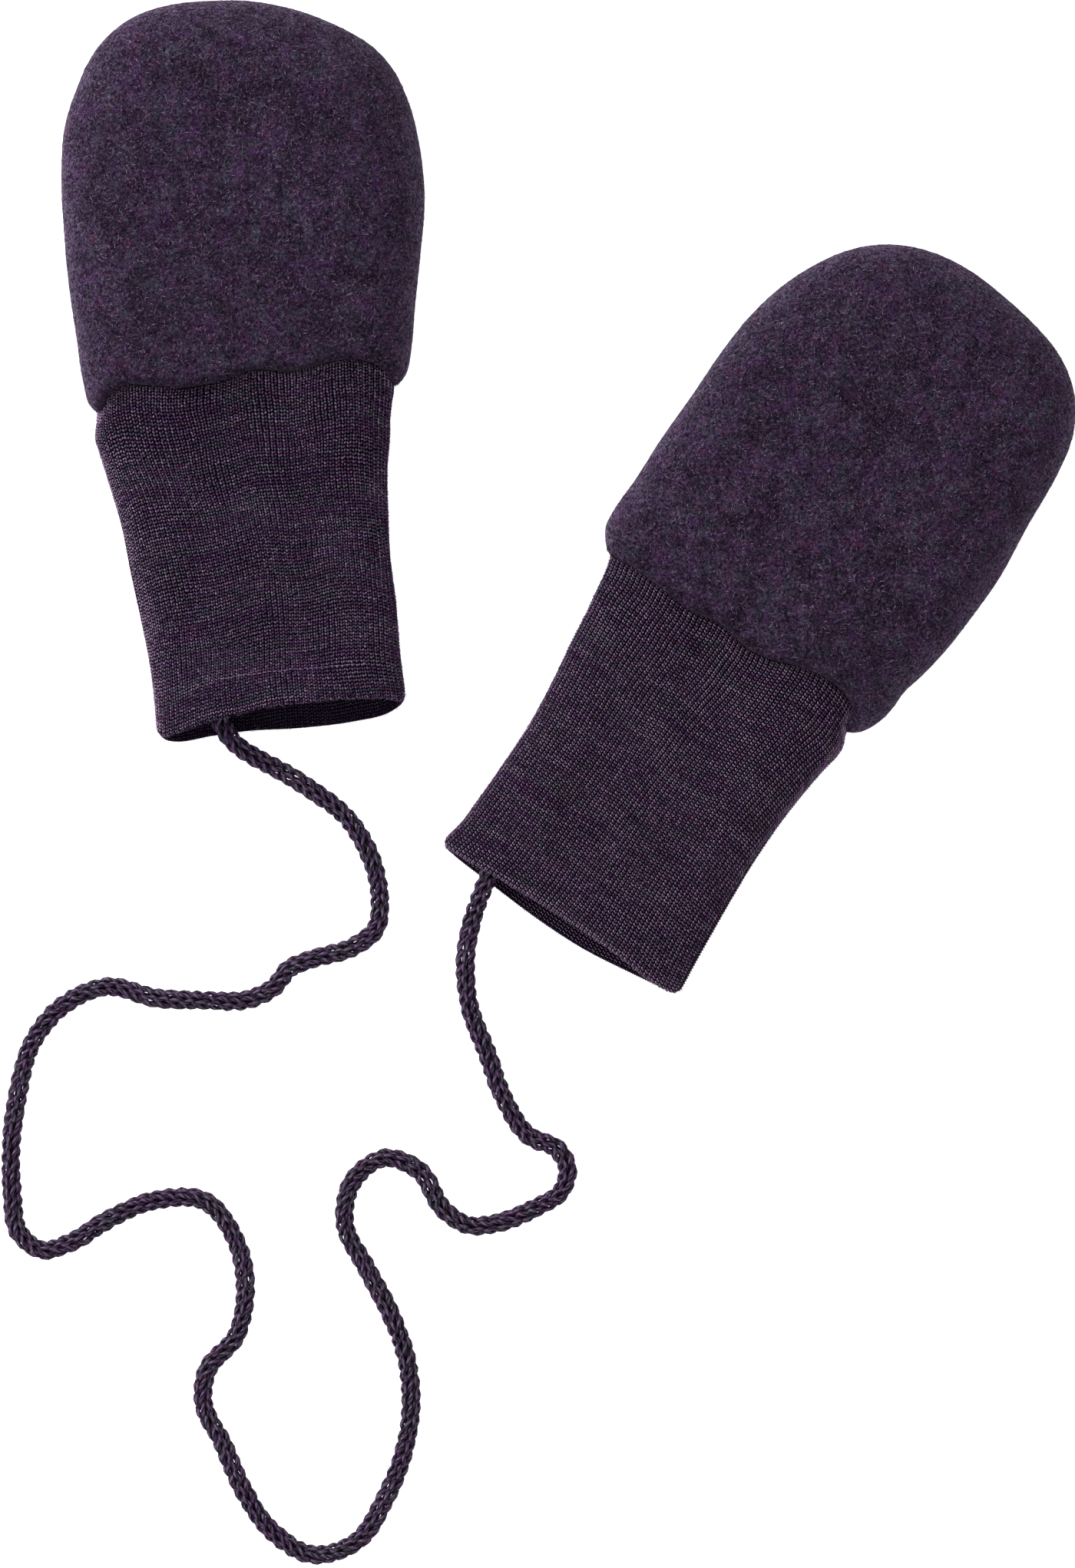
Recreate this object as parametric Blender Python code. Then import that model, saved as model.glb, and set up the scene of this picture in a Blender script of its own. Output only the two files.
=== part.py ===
"""Pair of baby mittens joined by one knitted cord, lying flat on a surface.

Each mitten is a hand of two fleece panels, front and back, and a fine-knit
cuff, one tube sewn to both panels. The cord runs from the mouth of one cuff to
the mouth of the other.

Sizes in the tables are millimetres. A mitten is laid out in its own frame: u to
its right, v from the cuff's seam towards the fingertips, z up from the surface.
"""

import math
from dataclasses import dataclass

import bmesh
import bpy
import numpy as np

MM = 0.001

# Cloth and seams
FLEECE = 2.2  # wall of a hand panel
FLEECE_LIP = 0.9  # the panel's rounded lower edge thins to this
LIP_LENGTH = 3.0
KNIT = 1.2  # wall of a cuff
SEAM_GAP = 0.3  # between the two hand panels
CUFF_GAP = 0.35  # between a hand panel and the cuff under it
SEAM_ALLOWANCE = 6.0  # how far the cuff goes into the hand

# Hand: heights and how far from the outline the cloth curves
SIDE_SEAM_Z = 6.0
FRONT_REACH = 19.0
BACK_REACH = 9.0
LIP_BLEND = 17.0  # the hand's front swells to its full height over this length
WAVE_FADE = 34.0  # the lower edge's waves die out in the panel's rows over this length
SPINE_LAG = 2.1  # how early the rows start to turn round the fingertips
SPINE_SHARE = 0.62  # the rows' middle line ends at this share of the length

# Cuff: how far from its side folds the cloth curves
CUFF_FRONT_REACH = 14.0
CUFF_BACK_REACH = 7.0

# Cord
CORD_DIAMETER = 4.1
CORD_POINTS = 74
CORD_LIFT = 0.05

# Faces of each sheet: across a panel, along a hand, along a cuff
ACROSS = 18
HAND_ROWS = 18
CUFF_ROWS = 12
CUFF_ROWS_CROWD = 1.5  # above 1, a cuff's rows crowd towards the seam
ALLOWANCE_ROWS = 3
CURVE_SAMPLES = 4000
OUTLINE_SAMPLES = 1600
MERGE = 1e-6
SHARP_EDGE = 50.0  # degrees

# Base colours, linear, and roughness
HAND_FINISH = ((0.040, 0.024, 0.050), 0.95)
CUFF_FINISH = ((0.046, 0.029, 0.055), 0.85)
CORD_FINISH = ((0.036, 0.022, 0.043), 0.85)


@dataclass(frozen=True)
class Dent:
    """Soft hollow (or, with a negative depth, a swelling) of a front panel."""

    u: float
    v: float
    turn: float  # degrees from the v axis to its long axis
    length: float
    width: float
    depth: float

    def depth_at(self, u, v):
        """Return how far the cloth sinks at (u, v)."""
        angle = math.radians(self.turn)
        along = (v - self.v) * math.cos(angle) + (u - self.u) * math.sin(angle)
        aside = (u - self.u) * math.cos(angle) - (v - self.v) * math.sin(angle)
        return self.depth * np.exp(-((along / self.length) ** 2) - (aside / self.width) ** 2)


@dataclass(frozen=True)
class Mitten:
    """Tables of one mitten."""

    name: str
    at: tuple  # origin of its frame on the surface, x and y
    turn: float  # degrees about z
    # u, v of the hand's outline, from the seam's left end round the tip to its right end
    hand_outline: tuple
    # share across, v of the front panel's lower edge
    seam_front: tuple
    # v, crown height of the hand
    hand_crown: tuple
    # v, left u, right u, underside z, side fold z, crown z of the cuff
    cuff_sections: tuple
    # share across, v of the mouth's front edge and of its back edge
    hem_front: tuple
    hem_back: tuple
    hand_dents: tuple
    cuff_dents: tuple


LEFT = Mitten(
    name="left",
    at=(-71.6, 24.9),
    turn=4.0,
    hand_outline=(
        (-33.8, -4.8),
        (-34.6, -1.8),
        (-35.5, 3.0),
        (-36.3, 13.0),
        (-37.2, 25.0),
        (-37.4, 36.0),
        (-37.1, 49.0),
        (-35.5, 60.0),
        (-32.3, 68.0),
        (-28.4, 75.0),
        (-23.6, 79.9),
        (-17.4, 83.3),
        (-10.0, 84.9),
        (-1.0, 85.1),
        (7.0, 84.5),
        (12.8, 83.2),
        (21.0, 80.3),
        (28.1, 76.5),
        (33.2, 72.9),
        (37.3, 68.0),
        (40.6, 60.0),
        (42.5, 49.0),
        (42.7, 38.0),
        (41.1, 27.0),
        (39.0, 15.0),
        (37.5, 5.5),
        (36.3, 0.6),
        (34.1, -3.1),
    ),
    seam_front=(
        (0.00, -4.8),
        (0.05, -1.2),
        (0.16, 0.8),
        (0.30, -0.1),
        (0.42, 0.8),
        (0.52, 2.7),
        (0.66, 1.8),
        (0.78, 3.3),
        (0.90, 2.8),
        (0.97, 0.0),
        (1.00, -3.1),
    ),
    hand_crown=((-6.0, 14.0), (12.0, 15.6), (35.0, 16.4), (60.0, 16.0), (90.0, 14.6)),
    cuff_sections=(
        (-80.0, -23.9, 30.8, 0.0, 4.6, 11.2),
        (-71.0, -24.5, 30.9, 0.0, 4.5, 10.6),
        (-62.0, -25.1, 30.4, 0.0, 4.2, 9.2),
        (-51.0, -26.6, 30.3, 0.0, 4.0, 8.6),
        (-40.0, -28.2, 29.7, 0.0, 4.0, 8.5),
        (-29.0, -29.6, 30.0, 0.0, 4.1, 8.8),
        (-20.4, -31.5, 30.5, 0.0, 4.4, 9.4),
        (-14.0, -33.0, 31.5, 0.2, 4.9, 10.0),
        (-9.0, -33.5, 31.9, 1.3, 5.4, 10.6),
        (-6.4, -33.0, 31.8, 2.1, 5.7, 10.8),
        (-4.6, -31.3, 31.7, 2.6, 5.9, 11.0),
        (0.0, -31.2, 31.6, 2.8, 6.0, 11.2),
        (12.0, -31.2, 31.6, 2.9, 6.0, 11.2),
    ),
    hem_front=(
        (0.00, -76.6),
        (0.05, -75.2),
        (0.15, -73.6),
        (0.33, -72.2),
        (0.55, -71.4),
        (0.79, -71.0),
        (0.95, -71.3),
        (1.00, -72.0),
    ),
    hem_back=(
        (0.00, -76.6),
        (0.05, -77.7),
        (0.22, -77.1),
        (0.34, -76.7),
        (0.58, -76.6),
        (0.78, -75.4),
        (0.95, -73.4),
        (1.00, -72.0),
    ),
    hand_dents=(
        Dent(u=3.0, v=62.0, turn=-20.0, length=13.0, width=7.0, depth=0.8),
        Dent(u=25.0, v=23.0, turn=15.0, length=12.0, width=6.0, depth=0.7),
        Dent(u=-21.0, v=14.0, turn=0.0, length=10.0, width=6.0, depth=0.6),
    ),
    cuff_dents=(
        Dent(u=-14.0, v=-45.0, turn=6.0, length=16.0, width=5.0, depth=0.9),
        Dent(u=12.0, v=-42.0, turn=-4.0, length=18.0, width=5.0, depth=0.9),
        Dent(u=-8.0, v=-18.0, turn=0.0, length=9.0, width=7.0, depth=0.6),
    ),
)

RIGHT = Mitten(
    name="right",
    at=(35.1, -32.1),
    turn=-31.5,
    hand_outline=(
        (-33.0, 2.6),
        (-34.2, 4.6),
        (-36.2, 8.0),
        (-36.5, 12.0),
        (-36.0, 20.0),
        (-35.8, 31.0),
        (-35.0, 43.0),
        (-34.5, 54.0),
        (-33.2, 64.5),
        (-30.5, 74.0),
        (-26.6, 82.0),
        (-21.5, 88.9),
        (-15.2, 93.9),
        (-7.6, 97.0),
        (3.0, 98.2),
        (13.0, 97.1),
        (22.3, 95.2),
        (28.8, 93.0),
        (33.8, 90.0),
        (38.4, 85.2),
        (41.7, 78.4),
        (43.1, 69.0),
        (43.4, 57.0),
        (44.1, 43.0),
        (43.4, 33.0),
        (42.4, 24.0),
        (40.6, 15.5),
        (39.2, 10.5),
        (39.1, 7.5),
        (38.2, 3.0),
        (36.4, -0.6),
        (34.7, -3.6),
    ),
    seam_front=(
        (0.00, 2.6),
        (0.12, 2.9),
        (0.24, 2.2),
        (0.35, 1.7),
        (0.45, 2.5),
        (0.55, 1.0),
        (0.65, 1.6),
        (0.76, 3.8),
        (0.88, 4.1),
        (0.95, 1.8),
        (1.00, -3.6),
    ),
    hand_crown=((-6.0, 14.0), (14.0, 15.8), (42.0, 16.6), (70.0, 16.2), (102.0, 14.6)),
    cuff_sections=(
        (-78.0, -29.9, 32.0, 0.0, 4.3, 9.4),
        (-68.0, -29.3, 31.6, 0.0, 4.2, 9.0),
        (-58.0, -28.7, 31.2, 0.0, 4.0, 8.6),
        (-48.0, -28.1, 30.9, 0.0, 4.0, 8.5),
        (-38.0, -27.8, 30.8, 0.0, 4.0, 8.5),
        (-27.0, -28.4, 31.4, 0.0, 4.1, 8.9),
        (-18.0, -29.1, 32.5, 0.0, 4.5, 9.6),
        (-13.0, -29.5, 33.3, 0.3, 4.9, 10.1),
        (-8.5, -29.9, 34.3, 1.4, 5.5, 10.6),
        (-6.0, -30.1, 34.0, 2.2, 5.7, 10.8),
        (-4.0, -30.3, 32.4, 2.6, 5.9, 11.0),
        (2.6, -30.4, 32.1, 2.9, 6.0, 11.2),
        (14.0, -30.4, 32.0, 2.9, 6.0, 11.2),
    ),
    hem_front=(
        (0.00, -70.8),
        (0.20, -70.6),
        (0.48, -70.7),
        (0.76, -71.7),
        (0.92, -72.6),
        (1.00, -72.2),
    ),
    hem_back=(
        (0.00, -70.8),
        (0.08, -71.6),
        (0.20, -72.6),
        (0.48, -74.3),
        (0.62, -74.3),
        (0.82, -73.5),
        (1.00, -72.2),
    ),
    hand_dents=(
        Dent(u=2.5, v=9.0, turn=12.0, length=9.0, width=4.0, depth=1.0),
        Dent(u=15.0, v=14.0, turn=0.0, length=8.0, width=7.0, depth=-0.8),
        Dent(u=-22.0, v=23.0, turn=10.0, length=13.0, width=6.0, depth=0.8),
        Dent(u=-15.0, v=51.0, turn=-10.0, length=11.0, width=7.0, depth=0.7),
    ),
    cuff_dents=(
        Dent(u=-10.0, v=-40.0, turn=-8.0, length=17.0, width=6.0, depth=0.8),
        Dent(u=15.0, v=-46.0, turn=6.0, length=16.0, width=6.0, depth=0.8),
        Dent(u=3.0, v=-16.0, turn=0.0, length=9.0, width=7.0, depth=0.6),
    ),
)

# x, y, z of the cord's middle, from its sewn end in the left cuff to that in the right
CORD_ROUTE = (
    (-79.6, -35.6, 3.7),
    (-78.0, -43.5, 3.7),
    (-76.2, -51.2, 3.8),
    (-73.2, -55.0, 3.7),
    (-69.6, -57.4, 3.1),
    (-63.2, -60.8, 2.1),
    (-56.0, -65.4, 2.1),
    (-49.7, -70.2, 2.1),
    (-44.2, -78.6, 2.1),
    (-41.7, -89.5, 2.1),
    (-42.5, -95.5, 2.1),
    (-47.0, -99.3, 2.1),
    (-56.6, -102.3, 2.1),
    (-61.6, -104.3, 2.1),
    (-65.2, -108.6, 2.1),
    (-70.5, -111.2, 2.1),
    (-80.8, -111.4, 2.1),
    (-91.7, -110.9, 2.1),
    (-102.0, -108.4, 2.1),
    (-112.2, -112.8, 2.1),
    (-119.0, -121.4, 2.1),
    (-121.9, -132.0, 2.1),
    (-123.4, -143.0, 2.1),
    (-123.2, -154.0, 2.1),
    (-121.4, -163.5, 2.1),
    (-116.6, -166.9, 2.1),
    (-110.8, -165.4, 2.1),
    (-101.5, -159.9, 2.1),
    (-91.5, -155.8, 2.1),
    (-80.5, -156.0, 2.1),
    (-73.8, -164.3, 2.1),
    (-71.5, -175.3, 2.1),
    (-73.6, -186.0, 2.1),
    (-80.0, -193.6, 2.1),
    (-80.9, -200.2, 2.1),
    (-76.5, -209.8, 2.1),
    (-72.0, -220.0, 2.1),
    (-65.8, -229.0, 2.1),
    (-56.8, -234.4, 2.1),
    (-46.8, -231.5, 2.1),
    (-40.7, -222.4, 2.1),
    (-36.6, -212.4, 2.1),
    (-34.8, -201.8, 2.1),
    (-35.8, -190.8, 2.1),
    (-39.5, -180.6, 2.1),
    (-44.6, -170.9, 2.1),
    (-49.4, -161.2, 2.1),
    (-47.4, -151.2, 2.1),
    (-40.6, -146.4, 2.1),
    (-33.0, -149.2, 2.1),
    (-27.4, -158.0, 2.1),
    (-21.8, -161.4, 2.1),
    (-16.8, -161.1, 2.1),
    (-6.8, -157.3, 2.1),
    (-1.4, -153.8, 2.1),
    (0.0, -148.8, 2.1),
    (-2.6, -144.2, 2.1),
    (-8.0, -142.0, 2.1),
    (-14.0, -133.6, 2.1),
    (-17.8, -123.4, 2.1),
    (-21.7, -113.0, 2.1),
    (-22.7, -102.4, 2.1),
    (-20.8, -92.4, 2.6),
    (-19.3, -88.2, 3.6),
    (-18.0, -85.0, 3.8),
    (-15.8, -79.8, 3.8),
    (-12.4, -76.2, 3.7),
    (-7.6, -73.0, 3.7),
)


def smooth(knots, values, at):
    """Read a smooth curve through the given values at the given places."""
    knots, values, at = (np.asarray(x, float) for x in (knots, values, at))
    slopes = np.gradient(values, knots, axis=0)
    k = np.clip(np.searchsorted(knots, at, side="right") - 1, 0, len(knots) - 2)
    span = knots[k + 1] - knots[k]
    q = np.clip((at - knots[k]) / span, 0.0, 1.0)
    if values.ndim > 1:
        q, span = q[..., None], span[..., None]
    start = (1 + 2 * q) * (1 - q) ** 2 * values[k] + q * (1 - q) ** 2 * span * slopes[k]
    end = q**2 * (3 - 2 * q) * values[k + 1] - q**2 * (1 - q) * span * slopes[k + 1]
    return start + end


def along_route(points, shares):
    """Read a smooth curve through points at shares of its length."""
    points = np.asarray(points, float)
    chords = np.r_[0, np.cumsum(np.linalg.norm(np.diff(points, axis=0), axis=1))]
    fine = smooth(chords, points, np.linspace(0, chords[-1], CURVE_SAMPLES))
    length = np.r_[0, np.cumsum(np.linalg.norm(np.diff(fine, axis=0), axis=1))]
    wanted = np.asarray(shares) * length[-1]
    return np.stack([np.interp(wanted, length, axis) for axis in fine.T], axis=-1)


def bulge(distance, reach):
    """Height share of cloth that curves up from a fold: 0 there, 1 from reach on."""
    rest = 1 - np.clip(distance / reach, 0, 1)
    return np.sqrt(1 - rest**2)


def upness(distance, reach, rise):
    """Vertical part of the outward normal of such a curve."""
    rest = 1 - np.clip(distance / reach, 0, 1)
    flat = 1 - rest**2
    return np.sqrt(flat / (flat + (rise / reach * rest) ** 2))


def ease(share):
    """Smooth step from 0 to 1."""
    share = np.clip(share, 0, 1)
    return share**2 * (3 - 2 * share)


def normals(points, closed=False, toe=False):
    """Unit normals of a grid of points.

    closed: its last column is its first. toe: its last row is folded on itself.
    """
    grid = points
    if closed:
        grid = np.concatenate([grid[-2:-1], grid, grid[1:2]])
    if toe:
        grid = np.concatenate([grid, grid[::-1, -2:-1]], axis=1)
    across, along = np.gradient(grid, axis=0), np.gradient(grid, axis=1)
    found = np.cross(across, along)
    if closed:
        found = found[1:-1]
    if toe:
        found = found[:, :-1]
        middle = len(found) // 2
        found[middle, -1] = found[middle, -2]
    return found / np.linalg.norm(found, axis=-1, keepdims=True)


def seam_line(mitten, share, front):
    """v of a hand panel's lower edge at a share of the way across."""
    table = np.array(mitten.seam_front)
    if front:
        return smooth(table[:, 0], table[:, 1], share)
    return table[0, 1] + (table[-1, 1] - table[0, 1]) * share


def cuff_skin(mitten, share, v, front):
    """Point of the cuff's outside, and the vertical part of its normal there."""
    table = np.array(mitten.cuff_sections)
    left, right, floor, fold, crown = np.moveaxis(smooth(table[:, 0], table[:, 1:], v), -1, 0)
    u = left + (right - left) * share
    inset = np.minimum(share, 1 - share) * (right - left)
    if front:
        rise, reach = crown - fold, CUFF_FRONT_REACH
        shape = bulge(inset, reach)
        z = fold + rise * shape
        z = z - sum(dent.depth_at(u, v) for dent in mitten.cuff_dents) * shape
    else:
        rise, reach = fold - np.maximum(floor, 0), CUFF_BACK_REACH
        z = fold - rise * bulge(inset, reach)
    return np.stack([u, v + 0 * u, z], axis=-1), upness(inset, reach, rise)


def hand_plan(mitten, front):
    """u, v of a hand panel's grid, from the seam round to the fingertips."""
    half = ACROSS // 2
    steps = 1 - np.cos(np.linspace(0, math.pi / 2, HAND_ROWS + 1))
    outline = np.array(mitten.hand_outline)
    left = along_route(outline, steps / 2)
    right = along_route(outline, 1 - steps / 2)
    base, tip = (left[0] + right[0]) / 2, left[-1]
    spine = base + (tip - base) * SPINE_SHARE * (1 - (1 - steps[:, None]) ** SPINE_LAG)
    inward = (1 - np.cos(np.linspace(0, math.pi / 2, half + 1)))[:, None, None]
    near = left + (spine - left) * inward
    far = right + (spine - right) * inward
    plan = np.concatenate([near, far[-2::-1]])
    share = (1 - np.cos(np.linspace(0, math.pi, ACROSS + 1))) / 2
    straight = left[0, 1] + (right[0, 1] - left[0, 1]) * share
    wave = (seam_line(mitten, share, front) - straight)[:, None]
    height = plan[..., 1] - straight[:, None]
    plan[..., 1] += wave * np.clip(1 - height / WAVE_FADE, 0, 1) ** 2
    return plan, share


def outline_distance(mitten, plan):
    """Distance from each point of the plan to the hand's outline."""
    outline = along_route(mitten.hand_outline, np.linspace(0, 1, OUTLINE_SAMPLES))
    gap = np.linalg.norm(plan[..., None, :] - outline, axis=-1)
    return gap.min(axis=-1)


def hand_panel(mitten, front):
    """Outer and inner points of a hand panel."""
    plan, share = hand_plan(mitten, front)
    u, v = plan[..., 0], plan[..., 1]
    from_seam = v - seam_line(mitten, share, front)[:, None]
    edge = outline_distance(mitten, plan)
    edge[[0, -1]] = 0
    under, up = cuff_skin(mitten, share[:, None], v, front)
    if front:
        crowns = np.array(mitten.hand_crown)
        crown = smooth(crowns[:, 0], crowns[:, 1], v)
        shape = bulge(edge, FRONT_REACH)
        dome = SIDE_SEAM_Z + (crown - SIDE_SEAM_Z) * shape
        dome = dome - sum(dent.depth_at(u, v) for dent in mitten.hand_dents) * shape
        lip = under[..., 2] + (CUFF_GAP + FLEECE) * up
        rim_z = SIDE_SEAM_Z + SEAM_GAP / 2
    else:
        dome = SIDE_SEAM_Z * (1 - bulge(edge, BACK_REACH))
        lip = np.maximum(under[..., 2] - (CUFF_GAP + FLEECE) * up, 0)
        rim_z = SIDE_SEAM_Z - SEAM_GAP / 2
    z = lip + (dome - lip) * ease(from_seam / LIP_BLEND)
    on_rim = edge == 0
    z[on_rim] = rim_z
    full = np.stack([u, v, z], axis=-1)
    if not front:
        full = full[::-1]
        on_rim, from_seam = on_rim[::-1], from_seam[::-1]
    outward = normals(full, toe=True)
    outward[on_rim, 2] = 0
    outward /= np.linalg.norm(outward, axis=-1, keepdims=True)
    thick = FLEECE_LIP + (FLEECE - FLEECE_LIP) * bulge(from_seam, LIP_LENGTH)
    return full - (FLEECE - thick)[..., None] * outward, full - FLEECE * outward


def cuff_tube(mitten):
    """Outer and inner points of a cuff, front from left to right, then back."""
    share = (1 - np.cos(np.linspace(0, math.pi, ACROSS + 1))) / 2
    rows = 1 - (1 - np.linspace(0, 1, CUFF_ROWS + 1)) ** CUFF_ROWS_CROWD
    halves = []
    for front, hem in ((True, mitten.hem_front), (False, mitten.hem_back)):
        table = np.array(hem)
        start = smooth(table[:, 0], table[:, 1], share)[:, None]
        seam = seam_line(mitten, share, front)[:, None]
        allowance = SEAM_ALLOWANCE * np.linspace(0, 1, ALLOWANCE_ROWS + 1)[1:]
        v = np.concatenate([start + (seam - start) * rows, seam + allowance], axis=1)
        halves.append(cuff_skin(mitten, share[:, None], v, front)[0])
    outer = np.concatenate([halves[0], halves[1][-2::-1]])
    return outer, outer - KNIT * normals(outer, closed=True)


def shell(name, outer, inner):
    """Object with a wall between two grids of points; points that meet are merged."""
    columns, rows = outer.shape[0] - 1, outer.shape[1] - 1
    bm = bmesh.new()
    bmesh.ops.create_grid(bm, x_segments=columns, y_segments=rows, size=0.5)
    key = bm.verts.layers.int.new("key")
    for vert in bm.verts:
        i, j = round((vert.co.x + 0.5) * columns), round((vert.co.y + 0.5) * rows)
        vert[key] = i * (rows + 1) + j
        vert.co = outer[i, j] * MM
    bmesh.ops.remove_doubles(bm, verts=bm.verts, dist=MERGE)
    made = bmesh.ops.extrude_face_region(bm, geom=bm.faces[:], use_keep_orig=True)
    copies = {item for item in made["geom"] if isinstance(item, bmesh.types.BMVert)}
    for vert in bm.verts:
        skin = outer if vert in copies else inner
        vert.co = skin[divmod(vert[key], rows + 1)] * MM
    bmesh.ops.recalc_face_normals(bm, faces=bm.faces)
    mesh = bpy.data.meshes.new(name)
    bm.to_mesh(mesh)
    bm.free()
    mesh.shade_smooth()
    mesh.set_sharp_from_angle(angle=math.radians(SHARP_EDGE))
    return place(name, mesh)


def place(name, data):
    """Object of this name in the scene."""
    found = bpy.data.objects.new(name, data)
    bpy.context.scene.collection.objects.link(found)
    return found


def dye(found, colour, roughness):
    """Give an object its own Principled material."""
    material = bpy.data.materials.new(found.name)
    material.use_nodes = True
    surface = material.node_tree.nodes["Principled BSDF"]
    surface.inputs["Base Color"].default_value = (*colour, 1.0)
    surface.inputs["Roughness"].default_value = roughness
    surface.inputs["Metallic"].default_value = 0.0
    found.data.materials.append(material)


def cord_curve():
    """The cord: a round curve with filled caps along its route."""
    points = along_route(CORD_ROUTE, np.linspace(0, 1, CORD_POINTS))
    points[:, 2] = np.maximum(points[:, 2], CORD_DIAMETER / 2 + CORD_LIFT)
    curve = bpy.data.curves.new("cord", "CURVE")
    curve.dimensions = "3D"
    curve.bevel_depth = CORD_DIAMETER / 2 * MM
    curve.bevel_resolution = 2
    curve.use_fill_caps = True
    line = curve.splines.new("POLY")
    line.points.add(len(points) - 1)
    for target, point in zip(line.points, points):
        target.co = (*(point * MM), 1.0)
    return place("cord", curve)


def main():
    """Build both mittens and the cord."""
    for old in list(bpy.data.objects):
        bpy.data.objects.remove(old)
    for mitten in (LEFT, RIGHT):
        frame = place(f"{mitten.name}_mitten", None)
        frame.location = (mitten.at[0] * MM, mitten.at[1] * MM, 0)
        frame.rotation_euler = (0, 0, math.radians(mitten.turn))
        front = shell(f"{mitten.name}_hand_front", *hand_panel(mitten, True))
        back = shell(f"{mitten.name}_hand_back", *hand_panel(mitten, False))
        cuff = shell(f"{mitten.name}_cuff", *cuff_tube(mitten))
        for piece, finish in ((front, HAND_FINISH), (back, HAND_FINISH), (cuff, CUFF_FINISH)):
            dye(piece, *finish)
            piece.parent = frame
    dye(cord_curve(), *CORD_FINISH)


main()
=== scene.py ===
"""Looks of a pair of baby mittens joined by one knitted cord, lying flat.

Each mitten is a hand of two brushed fleece panels and a cuff of fine stocking
stitch. The fleece carries a nap of short curled fibres, the cuff is laid stitch
by stitch over a thin ground, and the cord is a yarn knitted round a dark core
along its middle, painted shade that shows between its loops.

Sizes are millimetres unless a name says otherwise. A mitten is laid out in its
own frame: u to its right, v from the cuff's seam towards the fingertips, z up.
"""

import logging
import math
from dataclasses import dataclass
from enum import Enum

import bmesh
import bpy
import numpy as np
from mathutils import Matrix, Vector


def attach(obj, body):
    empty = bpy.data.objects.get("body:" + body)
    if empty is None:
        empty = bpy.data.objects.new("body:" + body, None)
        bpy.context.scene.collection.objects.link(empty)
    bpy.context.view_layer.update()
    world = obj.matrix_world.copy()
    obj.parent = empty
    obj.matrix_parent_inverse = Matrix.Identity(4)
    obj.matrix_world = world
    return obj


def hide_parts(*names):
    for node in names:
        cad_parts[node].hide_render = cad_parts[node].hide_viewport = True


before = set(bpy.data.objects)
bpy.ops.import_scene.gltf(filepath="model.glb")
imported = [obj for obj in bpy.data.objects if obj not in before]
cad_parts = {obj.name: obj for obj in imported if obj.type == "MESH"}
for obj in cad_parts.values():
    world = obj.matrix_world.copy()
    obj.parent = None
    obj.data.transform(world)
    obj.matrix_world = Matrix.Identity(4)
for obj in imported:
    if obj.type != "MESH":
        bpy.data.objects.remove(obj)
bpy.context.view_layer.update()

Array = np.ndarray
Material = bpy.types.Material
Outputs = bpy.types.NodeOutputs
Piece = bpy.types.Object
Socket = bpy.types.NodeSocket
Tree = bpy.types.NodeTree

LOG = logging.getLogger("mittens")
MM = 0.001
BODY = "root"

# Cloth and seams, as in the construction
FLEECE = 2.2
FLEECE_LIP = 0.9
LIP_LENGTH = 3.0
KNIT = 1.2
SEAM_GAP = 0.3
CUFF_GAP = 0.35
SIDE_SEAM_Z = 6.0
FRONT_REACH = 19.0
BACK_REACH = 9.0
LIP_BLEND = 17.0
WAVE_FADE = 34.0
SPINE_LAG = 2.1
SPINE_SHARE = 0.62
CUFF_FRONT_REACH = 14.0
CUFF_BACK_REACH = 7.0
CUFF_RIPPLE = 0.07
CUFF_RIPPLE_SIZE = 15.0
CUFF_RIPPLE_STRETCH = 1.5

# Curled hairs of any cloth
HAIR_LENGTHS = (0.5, 1.6)  # shortest and longest, shares of their usual length
HAIR_CURL = 0.4
HAIR_FOOT = (-0.12, 0.06)  # how high it starts, from and to
HAIR_BEHIND = 0.35  # share of a hair that lies behind its foot
HAIR_ARCH = 0.10

CURVE_SAMPLES = 4000
OUTLINE_SAMPLES = 900
MERGE_METRES = 1e-6
RIPPLE_WAVES = 14
SHARP_DEGREES = 50.0


class Face(Enum):
    """Side of a mitten as it lies."""

    FRONT = "front"
    BACK = "back"


class Slot(Enum):
    """Material slots of the record."""

    FLEECE = "fleece"
    CUFF = "cuff_knit"
    CORD = "cord_knit"


@dataclass(frozen=True)
class Dent:
    """Soft trough of a panel, or a ridge where its depth is negative."""

    u: float
    v: float
    turn: float  # degrees from the v axis to its long axis
    length: float
    width: float
    depth: float

    def depth_at(self, u: Array, v: Array) -> Array:
        """How far the cloth sinks.

        Args:
            u: places across, in the mitten's frame.
            v: places along it.

        Returns:
            The depth at each place.
        """
        angle = math.radians(self.turn)
        along = (v - self.v) * math.cos(angle) + (u - self.u) * math.sin(angle)
        aside = (u - self.u) * math.cos(angle) - (v - self.v) * math.sin(angle)
        return self.depth * np.exp(-((along / self.length) ** 2) - (aside / self.width) ** 2)


def dents(*rows: tuple) -> tuple:
    """Dents of rows of their u, v, turn, length, width and depth."""
    return tuple(Dent(*row) for row in rows)


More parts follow.
